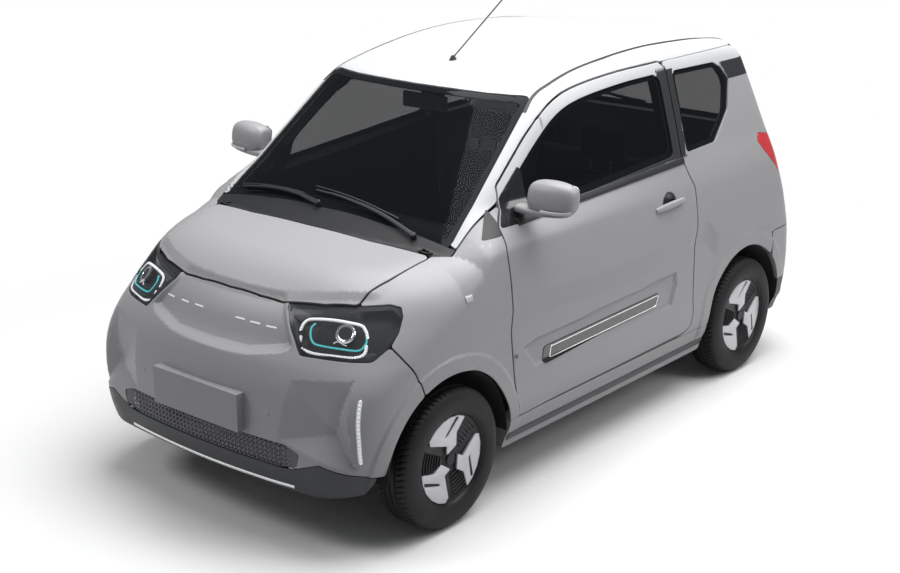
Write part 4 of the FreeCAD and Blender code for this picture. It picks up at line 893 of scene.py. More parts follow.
def sheet_of(loops, thick, bevel):
    """A flat plate with rounded edges from its outline and its holes, its thickness along z."""
    curve = bpy.data.curves.new("plate", "CURVE")
    curve.dimensions, curve.fill_mode = "2D", "BOTH"
    curve.extrude, curve.offset = thick / 2 - bevel, -bevel
    curve.bevel_depth, curve.bevel_resolution = bevel, 2
    for loop in loops:
        spline = curve.splines.new("POLY")
        spline.points.add(len(loop) - 1)
        for point, (a, b) in zip(spline.points, loop):
            point.co = (a, b, 0, 1)
        spline.use_cyclic_u = True
    holder = bpy.data.objects.new("plate", curve)
    mesh = bpy.data.meshes.new_from_object(holder)
    points = np.array([tuple(v.co) for v in mesh.vertices])
    faces = [tuple(p.vertices) for p in mesh.polygons]
    bpy.data.objects.remove(holder)
    bpy.data.meshes.remove(mesh)
    return points, faces


PALE_GLOW, WHITE_GLOW = (0.85, 0.90, 0.95), (1.0, 1.0, 1.0)
chrome = Finish("chrome", (0.80, 0.81, 0.82), 0.12, metallic=0.9, drift=(20, 0.03, 0.03))
white_light = Finish("white_light", (0.80, 0.82, 0.84), 0.25, drift=(60, 0.02, 0.03), Coat_Weight=0.4,
                     Emission_Strength=0.12)
white_light.glow(PALE_GLOW, WHITE_GLOW)
clear = Finish("clear_lens", (0.30, 0.32, 0.34), 0.03, Specular_IOR_Level=0.8)
clear.feed("Alpha", clear.noise(30.0, 1.0) * 0.01 + 0.05)
lens = panel_net(post_lines(*FRONT_POST), span(-88, -10, 0.9), span(690, 880, 8), both_sides(
    wider(LAMP, by=-0.4), apart(BONNET, gap=PANEL_GAP)), depth=3.4, lip=0.8)
panel("lamp_lenses", pair(lens), clear, "shell", ["headlamp_lenses"])
smoked = Finish("smoked_housing", (0.016, 0.017, 0.020), 0.3, drift=(8, 0.2, 0.05), Specular_IOR_Level=0.4)
turquoise = Finish("turquoise_line", (0.10, 0.55, 0.60), 0.3, drift=(30, 0.1, 0.05), Emission_Strength=0.25)
turquoise.glow((0.05, 0.5, 0.55), (0.1, 0.7, 0.75))
upper = along([(369, 780), (371, 803), (393, 816), (471, 821), (550, 813), (577, 797), (594, 776)], step=4)
lower = along([(380, 762), (386, 740), (402, 727), (443, 719), (523, 720), (590, 720), (607, 733),
               (602, 754)], step=4)
lights = [strip(on_front(bent, lift=-5.5), wide=11, thick=2.0) for bent in (upper, lower)]
LAMP_EYE = np.array([524.0, -1317.0, 787.0])
eye_way = uphill(bare_skin, LAMP_EYE[None], 1.0)[0]
ring = [(-14, 23), (-6, 24), (-4, 27), (-4, 32), (-7, 35), (-14, 35), (-14, 23)]
dome = [(-13, 26)] + [(-18 + 12 * math.sin(t), 26 * math.cos(t))
                      for t in np.linspace(0.2, 1.4, 8)] + [(-6, 0)]
bar = strip(on_front(along([(412, 806), (404, 792), (412, 769), (430, 750), (455, 744), (526, 742),
                            (586, 741), (597, 761), (590, 778)], step=4), lift=-6.0), wide=6.5, thick=2)
swoosh = strip(on_front(along([(500, 756), (512, 763), (530, 757), (545, 753)], step=4), lift=-9.0),
               wide=4, thick=2)
shell("lamp_rings", both(*lights), white_light, "shell")
shell("lamp_bezels", both(lathe(ring, LAMP_EYE, eye_way, steps=48)), chrome, "shell")
shell("lamp_projectors", both(lathe(dome, LAMP_EYE, eye_way, steps=48)), gloss_black, "shell")
shell("lamp_lines", both(bar), turquoise, "shell")
shell("lamp_swooshes", both(swoosh), white_light, "shell")


# Bonnet seal: a soft black rubber strip in the gap along the bonnet's front edge, clipped to the shell
# under the lid.
seal_black = Finish("seal_rubber", (0.010, 0.010, 0.011), 0.8, drift=(30, 0.2, 0.05))
SEAL_HALF = [(0, -1352), (150, -1347), (275, -1334), (409, -1293), (512, -1240)]
seal = strip(on_top(along([(-x, y) for x, y in SEAL_HALF[:0:-1]] + SEAL_HALF, step=14), lift=-17.0),
             wide=44, thick=3)
shell("bonnet_seal", [seal], seal_black, "shell")


# Front lights and marks: upright day lamps beside the corner facets, six short dashes in the mask, two
# distance sensors, the side repeaters and the bright strip in the valance.
day_rows = along([(655, 594), (661, 530), (666, 460), (668, 378)], step=3)
day_bed = strip(on_front(day_rows, lift=0.0), wide=15, thick=1.0)
shell("day_lamp_beds", both(day_bed), white_light, "shell")
dashes = []
for x in (-286, -193, -110, 105, 175, 247):
    z = 764 + 8 * (1 - abs(x) / 290)
    dashes.append(strip(on_front(along([(x - 22, z), (x + 22, z)], step=5), lift=0.0), wide=6.5, thick=1.5))
shell("mask_dashes", dashes, white_light, "shell")
dots = []
for x in (-325, 325):
    spot, out_way = on_front([(x, 498)])
    dots.append(lathe([(-3, 0), (-3, 10), (0.6, 10), (1.2, 9), (1.2, 0)], spot[0], out_way[0], steps=32))
shell("sensors", dots, body_grey, "shell")
pearl = Finish("repeater", (0.62, 0.62, 0.64), 0.2, drift=(60, 0.1, 0.05), Coat_Weight=0.5)
wink = strip(on_side(along([(-922, 848), (-892, 850)], step=5), lift=0.0), wide=24, thick=3)
shell("side_repeaters", both(wink), pearl, "shell")
bright = strip(on_front(along([(-430, 247), (-300, 243), (0, 240), (300, 243), (430, 247)], step=12),
                        lift=0.0), wide=15, thick=3)
shell("valance_strip", [bright], chrome, "shell")


# Door furniture: a grab bar over a half-round cup, a black moulding in a thin bright frame let into the
# pressed pocket, a black strip along the window's foot and the black triangle that carries the mirror.
def cup_bowl():
    r, t = np.meshgrid(np.linspace(0, 1, 10), np.linspace(-0.15, math.pi + 0.15, 33), indexing="ij")
    rows = np.stack([CUP_Y + 53 * r * np.cos(t), CUP_Z + 1 + 53 * r * np.sin(t)], -1).reshape(-1, 2)
    points, ways = on_side(rows)
    points = points - ways * (20 * np.sqrt(np.maximum(1 - r.ravel() ** 2, 0)) - 0.2)[:, None]
    return points, cells_of(np.arange(r.size).reshape(r.shape))


grab_rows = along([(284, 919), (330, 920.5), (450, 924.5), (498, 926)], step=5)
swell = np.sin(np.linspace(0.12, math.pi - 0.12, len(grab_rows))) ** 0.5
grab = strip(on_side(grab_rows, lift=-4 + 9 * swell), wide=13 + 13 * swell, thick=6 + 5 * swell, sink=7.0)
moulding = panel_net(arch_lines(), span(-470, 375, 16), span(-16, 2, 0.9), outline(
    "side", [(-455, 475), (-444, 541), (361, 553), (339, 493)], radius=8), depth=6, lip=2.0, base=-3.0)
frame_loop = along(tidy([(-408, 487), (-401, 531), (352, 544), (334, 501)], radius=6), step=10,
                   closed=True, soft=False)
bright_frame = strip(on_side(frame_loop, lift=3.0), wide=5, thick=2, closed=True)
belt_rows = along([(-560, 1041), (-470, 1045), (-113, 1057), (300, 1071), (545, 1079)], step=12)
belt = strip(on_side(belt_rows, lift=0.0), wide=26, thick=3.5)
belt_edge = strip(on_side(belt_rows - (0, 12), lift=0.5), wide=4, thick=4.2)
sail = panel_net(arch_lines(), span(-660, -440, 9), span(20, 50, 0.8), both_sides(outline(
    "side", [(-652, 1036), (-580, 1132), (-462, 1222), (-450, 1200), (-450, 1034)], radius=4),
    wider(DOOR, by=-2)), depth=4, lip=1.0, base=-1.5)
corner = panel_net(arch_lines(), span(-780, -650, 5), span(20, 50, 0.5), both_sides(outline(
    "side", [(-760, 1014), (-655, 1100), (-640, 1018)], radius=3), apart(DOOR, gap=PANEL_GAP)),
    depth=3, lip=0.8, base=-1.5)
SIDES = (("left", list, tuple), ("right", other_side, twin))
for side, flip, turn in SIDES:
    door = "door_" + side
    shell("door_handle_" + side, flip([grab]), body_grey, door)
    shell("handle_cup_" + side, flip([cup_bowl()]), gloss_black, door)
    panel("door_moulding_" + side, turn(moulding), gloss_black, door, ["door_trim_" + side])
    shell("moulding_frame_" + side, flip([bright_frame]), chrome, door)
    shell("belt_strip_" + side, flip([belt, belt_edge]), black_trim, door)
    panel("mirror_sail_" + side, turn(sail), gloss_black, door)
panel("wing_corners", pair(corner), black_trim, "shell")


# Mirrors: grey moulded heads on short arms from the door's black triangle, with a clear winking strip
# along the lower edge and a glass at the back.
def evaluated(holder):
    """A new mesh of an object with its modifiers."""
    return bpy.data.meshes.new_from_object(holder.evaluated_get(bpy.context.evaluated_depsgraph_get()))


def loft(sections):
    """A closed form through like rings of points, rounded by two subdivisions."""
    count = len(sections[0])
    points = [tuple(p) for ring in sections for p in ring]
    faces = [tuple(range(count))[::-1], tuple(range(len(points) - count, len(points)))]
    for low in range(0, len(points) - count, count):
        faces += [(low + j, low + (j + 1) % count, low + count + (j + 1) % count, low + count + j)
                  for j in range(count)]
    mesh = bpy.data.meshes.new("loft")
    mesh.from_pydata(points, [], faces)
    holder = linked("loft", mesh)
    round_off = holder.modifiers.new("round", "SUBSURF")
    round_off.levels = round_off.render_levels = 2
    made = evaluated(holder)
    bpy.data.objects.remove(holder)
    return np.array([tuple(v.co) for v in made.vertices]), [tuple(p.vertices) for p in made.polygons]


def cornered(x, y0, y1, z0, z1, lean):
    """A ring of eight points round a box's section across the car."""
    dy, dz = (y1 - y0) * 0.22, (z1 - z0) * 0.22
    rows = [(y0, z0 + dz), (y0, z1 - dz), (y0 + dy, z1), (y1 - dy, z1), (y1, z1 - dz), (y1, z0 + dz),
            (y1 - dy, z0), (y0 + dy, z0)]
    return [(x, y + lean * (z - z0), z) for y, z in rows]


HEAD_LEAN = 0.12
head = loft([cornered(*row, HEAD_LEAN) for row in (
    (694, -536, -478, 1100, 1170), (698, -548, -474, 1092, 1186), (722, -562, -472, 1086, 1200),
    (780, -568, -470, 1083, 1207), (838, -560, -470, 1084, 1204), (872, -544, -472, 1090, 1192),
    (888, -520, -478, 1104, 1168))])
arm = loft([cornered(*row, 0.0) for row in (
    (640, -545, -492, 1070, 1098), (646, -547, -490, 1068, 1102), (690, -552, -486, 1066, 1100),
    (760, -556, -484, 1070, 1100), (850, -545, -484, 1078, 1100), (872, -530, -488, 1086, 1100))])
winker_rows = [(770, -559, 1097), (800, -560, 1098), (840, -555, 1099), (866, -543, 1100),
               (880, -522, 1101)]
winker_ways = [(0, -1, 0), (0, -1, 0), (0.25, -1, 0), (0.7, -0.7, 0), (1, -0.2, 0)]
winker = strip((np.array(winker_rows, float), np.array(winker_ways, float)), wide=12, thick=2.0)
glass_plate = sheet_of([tidy([(708, 1098), (870, 1098), (870, 1184), (708, 1184)], radius=24)], thick=3,
                       bevel=0.8)
flat_x, flat_z, flat_y = glass_plate[0].T
mirror_face = np.stack([flat_x, flat_y - 466 + HEAD_LEAN * (flat_z - 1090), flat_z], 1)
silvered = Finish("mirror_glass", (0.75, 0.77, 0.80), 0.03, metallic=1.0, drift=(10, 0.02, 0.015))
for side, flip, turn in SIDES:
    door = "door_" + side
    shell("mirror_head_" + side, flip([head, arm]), body_grey, door, ["mirror_" + side])
    shell("mirror_winker_" + side, flip([winker]), pearl, door)
    shell("mirror_glass_" + side, flip([(mirror_face, glass_plate[1])]), silvered, door)


# Roof drip strips, wipers and tail lamps: black strips pressed into the roof's seams, two wiper arms
# on round feet at the windscreen's foot, and red lenses with black backs in the quarters' openings.
drip = strip(on_top(along([(520, -330), (502, -248), (496, -146), (491, 12), (500, 246), (505, 542),
                           (506, 790), (503, 1000), (498, 1150)], step=12), lift=0.0), wide=13, thick=1.6)
shell("drip_strips", both(drip), black_trim, "shell")
arms = []
for x, y, tip_x, tip_y in ((440, -868, -60, -838), (-20, -880, -470, -832)):
    rows = along([(x, y), (x * 0.6 + tip_x * 0.4, y * 0.5 + tip_y * 0.5 + 4), (tip_x, tip_y)], step=14)
    count = len(rows)
    arms.append(strip(on_top(rows, lift=np.linspace(12, 15, count)), wide=np.linspace(19, 8, count),
                      thick=6, sink=3.0))
    blade_rows = along([(x - 90, y + 26), (tip_x - 20, tip_y + 16)], step=14)
    arms.append(strip(on_top(blade_rows, lift=6.0), wide=7, thick=8, sink=5.0))
    foot = on_top([(x, y)])
    arms.append(lathe([(-2, 0), (-2, 13), (18, 12), (21, 9), (22, 0)], foot[0][0], foot[1][0], steps=32))
shell("wiper_arms", arms, graphite, "shell", ["wipers"])
red = Finish("red_lens", (0.66, 0.035, 0.045), 0.12, drift=(14, 0.25, 0.03), Coat_Weight=0.6,
             Coat_Roughness=0.04)
tail = panel_net(post_lines(*SIDE_POST), span(20, 80, 0.9), span(850, 1110, 8), both_sides(
    wider(TAIL_LAMP, by=-0.5), block(x=(566, 900))), depth=22, lip=2.0)
panel("tail_lenses", pair(tail), red, "shell", ["tail_lamps"])
back = panel_net(post_lines(*SIDE_POST), span(20, 80, 1.6), span(850, 1110, 14), both_sides(
    wider(TAIL_LAMP, by=2), block(x=(562, 900))), depth=3, lip=1.0, base=24.0)
panel("tail_lamp_backs", pair(back), black_trim, "shell")


# Corner fillers: gloss black plastic strips beside the rear glass, clipped into the corners between the
# quarters and the tailgate.
filler = panel_net(post_lines(*REAR_POST), span(20, 75, 1.2), span(1030, 1478, 12), both_sides(
    block(x=(500, 572), y=(1100, 1500), z=(1036, 1477)), apart(TAILGATE, gap=2)),
    depth=9, lip=1.0, base=3.0)
panel("corner_fillers", pair(filler), gloss_black, "shell")


# Back of the car: a blank plate in its recess frame, a grab strip with two small lamps over it, the wiper,
# the high brake lamp, two reflectors, and the black frame round the glass.
def back_line(rows, step=10.0, lift=0.0, closed=False):
    return on_back(along(rows, step, closed, soft=False), lift)


rear_rows = tidy([(-478, 1082), (478, 1082), (449, 1418), (-449, 1418)], radius=40)
window_frame = strip(back_line(rear_rows, step=12, lift=0.0, closed=True), wide=20, thick=1.5, closed=True)
shell("rear_window_frame", [window_frame], gloss_black, "tailgate")
plate_ring = tidy([(-262, 772), (262, 772), (262, 636), (-262, 636)], radius=14)
recess = panel_net(post_lines(*REAR_POST), span(50, 130, 1.2), span(630, 800, 8),
                   outline("front", plate_ring), depth=5, lip=1.5, base=-1.5)
panel("plate_recess", recess, graphite, "tailgate")
rear_plate = sheet_of([tidy([(-220, 646), (220, 646), (220, 756), (-220, 756)], radius=8)], thick=3,
                      bevel=0.8)
PLATE_MIDDLE = 700
rear_spot, rear_way = on_back([(0, PLATE_MIDDLE)])
lean = rear_way[0][2] / rear_way[0][1]
flat_x, flat_z, flat_y = rear_plate[0].T
plate_points = np.stack([flat_x, rear_spot[0][1] + 5 + flat_y - (flat_z - PLATE_MIDDLE) * lean, flat_z], 1)
plate_face = Finish("rear_plate", (0.30, 0.30, 0.31), 0.4, drift=(10, 0.05, 0.05))
shell("rear_plate", [(plate_points, rear_plate[1])], plate_face, "tailgate")
garnish = strip(back_line([(-300, 812), (300, 812)], step=12), wide=30, thick=11)
shell("tailgate_grip", [garnish], gloss_black, "tailgate")
small = [strip(back_line([(x - 28, 797), (x + 28, 797)], step=6, lift=4.0), wide=9, thick=5)
         for x in (-130, 130)]
shell("plate_lamps", small, pearl, "tailgate")
brake = strip(back_line([(-120, 1441), (120, 1441)], step=10), wide=16, thick=4)
shell("high_brake_lamp", [brake], red, "tailgate")
reflectors = [strip(back_line([(x - 52, 400), (x + 52, 400)], step=8), wide=26, thick=3)
              for x in (-500, 500)]
shell("rear_reflectors", reflectors, red, "shell")
pivot, pivot_way = on_back([(0, 1062)])
wiper = [lathe([(-4, 0), (-4, 17), (12, 16), (18, 12), (20, 0)], pivot[0], pivot_way[0], steps=32),
         strip(back_line([(0, 1062), (-60, 1100), (-250, 1128)], step=10, lift=10.0), wide=14, thick=6,
               sink=4.0),
         strip(back_line([(-20, 1110), (-330, 1133)], step=10, lift=4.0), wide=8, thick=8, sink=4.0)]
shell("rear_wiper", wiper, black_trim, "tailgate")
skirt = strip(on_side(along([(-650, 236), (735, 236)], step=20), lift=0.0), wide=34, thick=4)
shell("sill_strips", both(skirt), graphite, "shell")
FLAP_Y, FLAP_Z, FLAP_RADIUS = 820, 905, 78
flap_ring = [(FLAP_Y + FLAP_RADIUS * math.cos(t), FLAP_Z + FLAP_RADIUS * math.sin(t))
             for t in np.linspace(0, 2 * math.pi, 48, endpoint=False)]
flap = strip(on_side(flap_ring), wide=2.6, thick=0.6, closed=True)
shell("charge_flap_line", other_side([flap]), seal_black, "shell")


# Road wheels: a black ribbed plastic disc with three slotted silver blades, clipped on a steel rim, and
# a moulded rubber tyre with three grooves and slanted cuts in its shoulders.
BLADE = [(36, 18), (64, -6), (144, 23), (163, 18), (164, 4), (164, -12), (164, -28), (164, -44), (162, -57),
         (100, -46), (55, -58)]
BLADE_SLOT = [(103, -8), (158, -39), (157, -45), (99, -15)]
THIRDS = (0, 120, 240)
silver = Finish("silver_blade", (0.60, 0.60, 0.62), 0.32, metallic=0.35, drift=(18, 0.06, 0.05))
ribbed = Finish("ribbed_black", (0.010, 0.011, 0.013), 0.4, drift=(20, 0.2, 0.05), Specular_IOR_Level=0.3)
ribs = ribbed.node("ShaderNodeTexWave", {"wave_type": "BANDS", "bands_direction": "Z"},
                   {"Vector": ribbed.place(), "Scale": 52.0}, "Fac")
ribbed.bump(ribs, 0.5, 0.001)


def flat_ring(loop, turn):
    r, t = np.array(loop, float).T
    t = np.radians(t + turn)
    return tidy(np.stack([r * np.cos(t), r * np.sin(t)], 1), radius=5)


def blade(turn):
    """A slotted blade, drawn flat and stood up on the wheel's outer face."""
    points, faces = sheet_of([flat_ring(BLADE, turn), flat_ring(BLADE_SLOT, turn)], thick=9, bevel=1.6)
    return points[:, [2, 0, 1]] + (59.0, 0, 0), faces, 1


TRIM = [(54, 0), (54, 30), (52, 34), (53, 60), (56.5, 110), (57, 160), (59, 166), (65, 169), (69, 172),
        (68.5, 175), (62, 176.5), (40, 172), (-62, 172), (-62, 162), (20, 160), (28, 120), (28, 0)]
wheel_parts = [lathe(TRIM, (0, 0, 0), (1, 0, 0), steps=96)] + [blade(turn) for turn in THIRDS]
for turn in THIRDS:
    for far in range(62, 153, 15):
        angle = math.radians(turn + 26) + np.linspace(0.12, 0.75, 7)
        path = np.stack([angle * 0 + 56.0 + 0.02 * far, far * np.cos(angle), far * np.sin(angle)], 1)
        wheel_parts.append(strip((path, np.tile((1.0, 0, 0), (7, 1))), wide=5, thick=2.6, sink=2.0))
wheel_parts.append(lathe([(50, 0), (50, 24), (58, 24), (61, 21), (61, 0)], (0, 0, 0), (1, 0, 0), steps=48))
TREAD = [(-63.5, 172), (-72, 178), (-75.5, 190), (-77.2, 205), (-77.3, 218), (-75.5, 232), (-71, 245),
         (-66, 253), (-60, 258.5), (-54, 261.5), (-50, 262.8)]
LUGS = [46, 42, 38, 34, 31, 29.7, 27.9, 24.1, 22.3, 13, 3.7, 1.9]
CROWN = [-a for a in LUGS] + LUGS[::-1]
PROFILE = np.array(TREAD + [(a, 264.9 - 1.6 * (a / 48) ** 2) for a in CROWN]
                   + [(-a, r) for a, r in TREAD[::-1]])
STEPS, PITCHES = 432, 72
TYRE_GROOVES, GROOVE_DEPTH, CUT_DEPTH = (-26.0, 0.0, 26.0), 6, 5


def tyre_form():
    turn = np.arange(STEPS) * 2 * math.pi / STEPS
    across, angle = np.meshgrid(PROFILE[:, 0], turn, indexing="ij")
    radius = np.repeat(PROFILE[:, 1][:, None], STEPS, 1)
    groove = np.zeros_like(radius)
    for middle in TYRE_GROOVES:
        groove = np.maximum(groove, smooth((3.6 - np.abs(across - middle)) / 1.6))
    pitch = np.mod(angle * PITCHES / (2 * math.pi) + across / 60.0, 1.0)
    sipe = smooth((0.16 - np.abs(pitch - 0.5)) / 0.1) * smooth((np.abs(across) - 30) / 3)
    scuff = 0.7 * (np.abs(radius - 214) < 1) + 0.9 * (np.abs(radius - 181) < 3)
    radius = radius - np.maximum(groove * GROOVE_DEPTH, sipe * CUT_DEPTH) * smooth((radius - 256) / 3)
    points = np.stack([across + np.sign(across) * scuff, radius * np.cos(angle),
                       radius * np.sin(angle)], -1)
    index = np.arange(radius.size).reshape(radius.shape)
    return points.reshape(-1, 3), cells_of(np.pad(index, ((0, 1), (0, 1)), "wrap"))


HUB = 660
rubber = Finish("rubber", (0.008, 0.008, 0.009), 0.62, drift=(14, 0.2, 0.08),
                grain=(500.0, 3.0, 0.2, 0.0006), Specular_IOR_Level=0.35)
tyre = tyre_form()
for corner, hand, y in (("front_left", 1, FRONT_AXLE), ("front_right", -1, FRONT_AXLE),
                        ("rear_left", 1, REAR_AXLE), ("rear_right", -1, REAR_AXLE)):
    wheel_set, tyre_set = ([((part[0] + (HUB, 0, 0)) * (hand, 1, 1) + (0, y, AXLE_HEIGHT), *part[1:])
                            for part in parts] for parts in (wheel_parts, [tyre]))
    wheel = "wheel_" + corner
    shell("road_wheel_" + corner, wheel_set, [ribbed, silver], wheel, [wheel], angle=30)
    shell("road_tyre_" + corner, tyre_set, rubber, wheel, ["tyre_" + corner], angle=40)


# Lit segments: small clear blocks in rows over the white lines of the lamps and along the day lamps,
# moulded into the lens and lit from behind.
class Tree(Graph):
    """A geometry tree with named inputs, run once on a mesh."""

    def __init__(self, name):
        super().__init__(bpy.data.node_groups.new(name, "GeometryNodeTree"))
        for way in ("INPUT", "OUTPUT"):
            self.tree.interface.new_socket("Geometry", in_out=way, socket_type="NodeSocketGeometry")
        self.start = self.add("NodeGroupInput").outputs
        self.end = self.add("NodeGroupOutput")
        self.values = {}

    def size(self, name, kind, value):
        socket = self.tree.interface.new_socket(name, in_out="INPUT", socket_type=kind)
        self.values[socket.identifier] = value
        return self.start[name]

    def node(self, kind, settings, sockets):
        return self.add(kind, settings, sockets).outputs[0]

    def close(self, result, finish):
        whole = self.node("GeometryNodeRealizeInstances", {}, {"Geometry": result})
        coat = self.size("Finish", "NodeSocketMaterial", finish.material)
        done = self.node("GeometryNodeSetMaterial", {}, {"Geometry": whole, "Material": coat})
        self.join(done, self.end.inputs[0])

    def run(self, mesh, thick=0.0):
        holder = linked("holder", mesh)
        modifier = holder.modifiers.new("tree", "NODES")
        modifier.node_group = self.tree
        for identifier, value in self.values.items():
            modifier[identifier] = value
        if thick:
            wall = holder.modifiers.new("wall", "SOLIDIFY")
            wall.thickness, wall.offset = thick, -1
        made = evaluated(holder)
        holder.modifiers.clear()
        bpy.data.objects.remove(holder)
        return made


def row_of(name, lines, spacing, form, finish, body):
    """Small rounded blocks laid along lines of points, turned with the surface under them."""
    points = np.concatenate([line[0] for line in lines]) * MM
    ways = np.concatenate([line[1] for line in lines])
    edges, count = [], 0
    for line in lines:
        edges += [(count + k, count + k + 1) for k in range(len(line[0]) - 1)]
        count += len(line[0])
    mesh = bpy.data.meshes.new(name)
    mesh.from_pydata(points.tolist(), edges, [])
    way_row = mesh.attributes.new("way", "FLOAT_VECTOR", "POINT")
    way_row.data.foreach_set("vector", ways.ravel().astype(np.float32))
    tree = Tree(name)
    gap = tree.size("Spacing", "NodeSocketFloat", spacing * MM)
    block_size = tree.size("Block", "NodeSocketVector", tuple(v * MM for v in form))
    curve = tree.node("GeometryNodeMeshToCurve", {}, {"Mesh": tree.start[0]})
    evenly = tree.node("GeometryNodeResampleCurve", {"mode": "LENGTH"}, {"Curve": curve, "Length": gap})
    way = tree.node("GeometryNodeInputNamedAttribute", {"data_type": "FLOAT_VECTOR"}, {"Name": "way"})
    tangent = tree.node("GeometryNodeInputTangent", {}, {})
    turn = tree.node("FunctionNodeAxesToRotation", {"primary_axis": "Z", "secondary_axis": "X"},
                     {"Primary Axis": way, "Secondary Axis": tangent})
    cube = tree.node("GeometryNodeMeshCube", {}, {"Size": block_size})
    eased = tree.node("GeometryNodeSubdivisionSurface", {}, {"Mesh": cube, "Level": 2, "Edge Crease": 0.55})
    laid = tree.node("GeometryNodeInstanceOnPoints", {}, {
        "Points": evenly, "Instance": eased, "Rotation": turn})
    tree.close(laid, finish)
    made = tree.run(mesh)
    made.polygons.foreach_set("use_smooth", np.ones(len(made.polygons), bool))
    settle(linked(name, made), body)


def mirrored_line(line):
    return line[0] * (-1, 1, 1), line[1] * (-1, 1, 1)


diode = Finish("lit_segment", (0.86, 0.88, 0.90), 0.2, drift=(60, 0.02, 0.03), Emission_Strength=0.35)
diode.glow(PALE_GLOW, WHITE_GLOW)
for label, rows, lift, spacing, form in (("day_lamp_segments", day_rows, 1.4, 13, (9, 8, 2.4)),
                                         ("lamp_segments_upper", upper, -3.8, 9, (6, 7, 2)),
                                         ("lamp_segments_lower", lower, -3.8, 9, (6, 7, 2))):
    laid = on_front(rows, lift)
    row_of(label, [laid, mirrored_line(laid)], spacing, form, diode, "shell")


# Lower grille: a mid-grey moulded plate that follows the nose, with rows of small triangular holes that
# shrink towards its ends.
columns, levels = np.linspace(-455, 455, 45), np.linspace(0, 1, 6)
low_edge = np.interp(np.abs(columns), [0, 372, 455], [314, 314, 333])
high_edge = np.interp(np.abs(columns), [0, 400, 455], [402, 402, 386])
cells = np.array([(x, low + (high - low) * t) for x, low, high in zip(columns, low_edge, high_edge)
                  for t in levels])
net = bpy.data.meshes.new("grille_net")
net.from_pydata((on_front(cells, lift=-2.5)[0] * MM).tolist(), [],
                cells_of(np.arange(len(cells)).reshape(len(columns), len(levels))).tolist())
opening = 0.60 * smooth((470 - np.abs(cells[:, 0])) / 90) + 0.02
net.attributes.new("opening", "FLOAT", "POINT").data.foreach_set("value", opening.astype(np.float32))
sieve = Tree("perforated_plate")
split = sieve.node("GeometryNodeTriangulate", {}, {"Mesh": sieve.start[0]})
lips = sieve.add("GeometryNodeExtrudeMesh", {"mode": "FACES"}, {
    "Mesh": split, "Offset Scale": 0.0, "Individual": True}).outputs
share = sieve.node("GeometryNodeInputNamedAttribute", {"data_type": "FLOAT"}, {"Name": "opening"})
shrunk = sieve.node("GeometryNodeScaleElements", {"domain": "FACE"}, {
    "Geometry": lips["Mesh"], "Selection": lips["Top"], "Scale": share})
holed = sieve.node("GeometryNodeDeleteGeometry", {"domain": "FACE"},
                   {"Geometry": shrunk, "Selection": lips["Top"]})
sieve.close(holed, Finish("grille_grey", (0.115, 0.117, 0.123), 0.5, drift=(12, 0.1, 0.05)))
settle(linked("grille_plate", sieve.run(net, 0.003)), "shell", ["intake_grille"])


# Seats and rear bench: foam cushions in dark woven cloth, pressed out by their own air in a cloth run,
# with sewn channels, on hard plastic bases.
cloth = Finish("seat_cloth", (0.045, 0.046, 0.050), 0.85, drift=(9, 0.25, 0.06), Sheen_Weight=0.25)
weave = [cloth.node("ShaderNodeTexWave", {"bands_direction": way},
                    {"Vector": cloth.place(), "Scale": 160.0}, "Fac")
         for way in "XZ"]
cloth.bump(weave[0] + weave[1], 0.4, 0.0006)
VOXEL, SWELL, CHANNEL, CHANNEL_WIDTH, SEAT_STEP = 0.018, 0.012, 0.006, 7, 0.62
PADS = {  # side profile (y, z), half width, middle x
    "seat_cushion": ([(-160, 372), (310, 368), (308, 462), (-158, 470)], 225, 310),
    "seat_back": ([(318, 474), (395, 462), (522, 990), (462, 1008)], 223, 310),
    "headrest": ([(492, 1014), (528, 1008), (566, 1162), (512, 1168)], 120, 310),
    "bench_cushion": ([(812, 330), (1070, 330), (1066, 465), (812, 468)], 520, 0),
    "bench_back": ([(1054, 478), (1142, 460), (1216, 888), (1158, 894)], 518, 0)}
pads = {}
for label, (profile, half, middle) in PADS.items():
    ring = tidy(profile, radius=18)
    mesh = bpy.data.meshes.new(label)
    points = [(x * MM, y * MM, z * MM) for x in (middle - half, middle + half) for y, z in ring]
    count = len(ring)
    faces = [tuple(range(count)), tuple(range(count, 2 * count))[::-1]]
    faces += [(j, j + count, (j + 1) % count + count, (j + 1) % count) for j in range(count)]
    mesh.from_pydata(points, [], faces)
    pad = linked(label, mesh)
    remesh = pad.modifiers.new("even", "REMESH")
    remesh.mode, remesh.voxel_size = "VOXEL", VOXEL
    pad.modifiers.new("soften", "SMOOTH").iterations = 6
    pad.data = evaluated(pad)
    pad.modifiers.clear()
    pads[label] = pad
    swell = pad.modifiers.new("swell", "CLOTH")
    swell.settings.use_pressure = True
    swell.settings.uniform_pressure_force = 4
    swell.settings.effector_weights.gravity = 0
    swell.point_cache.frame_start, swell.point_cache.frame_end = 1, 20
for moment in range(1, 21):
    scene.frame_set(moment)
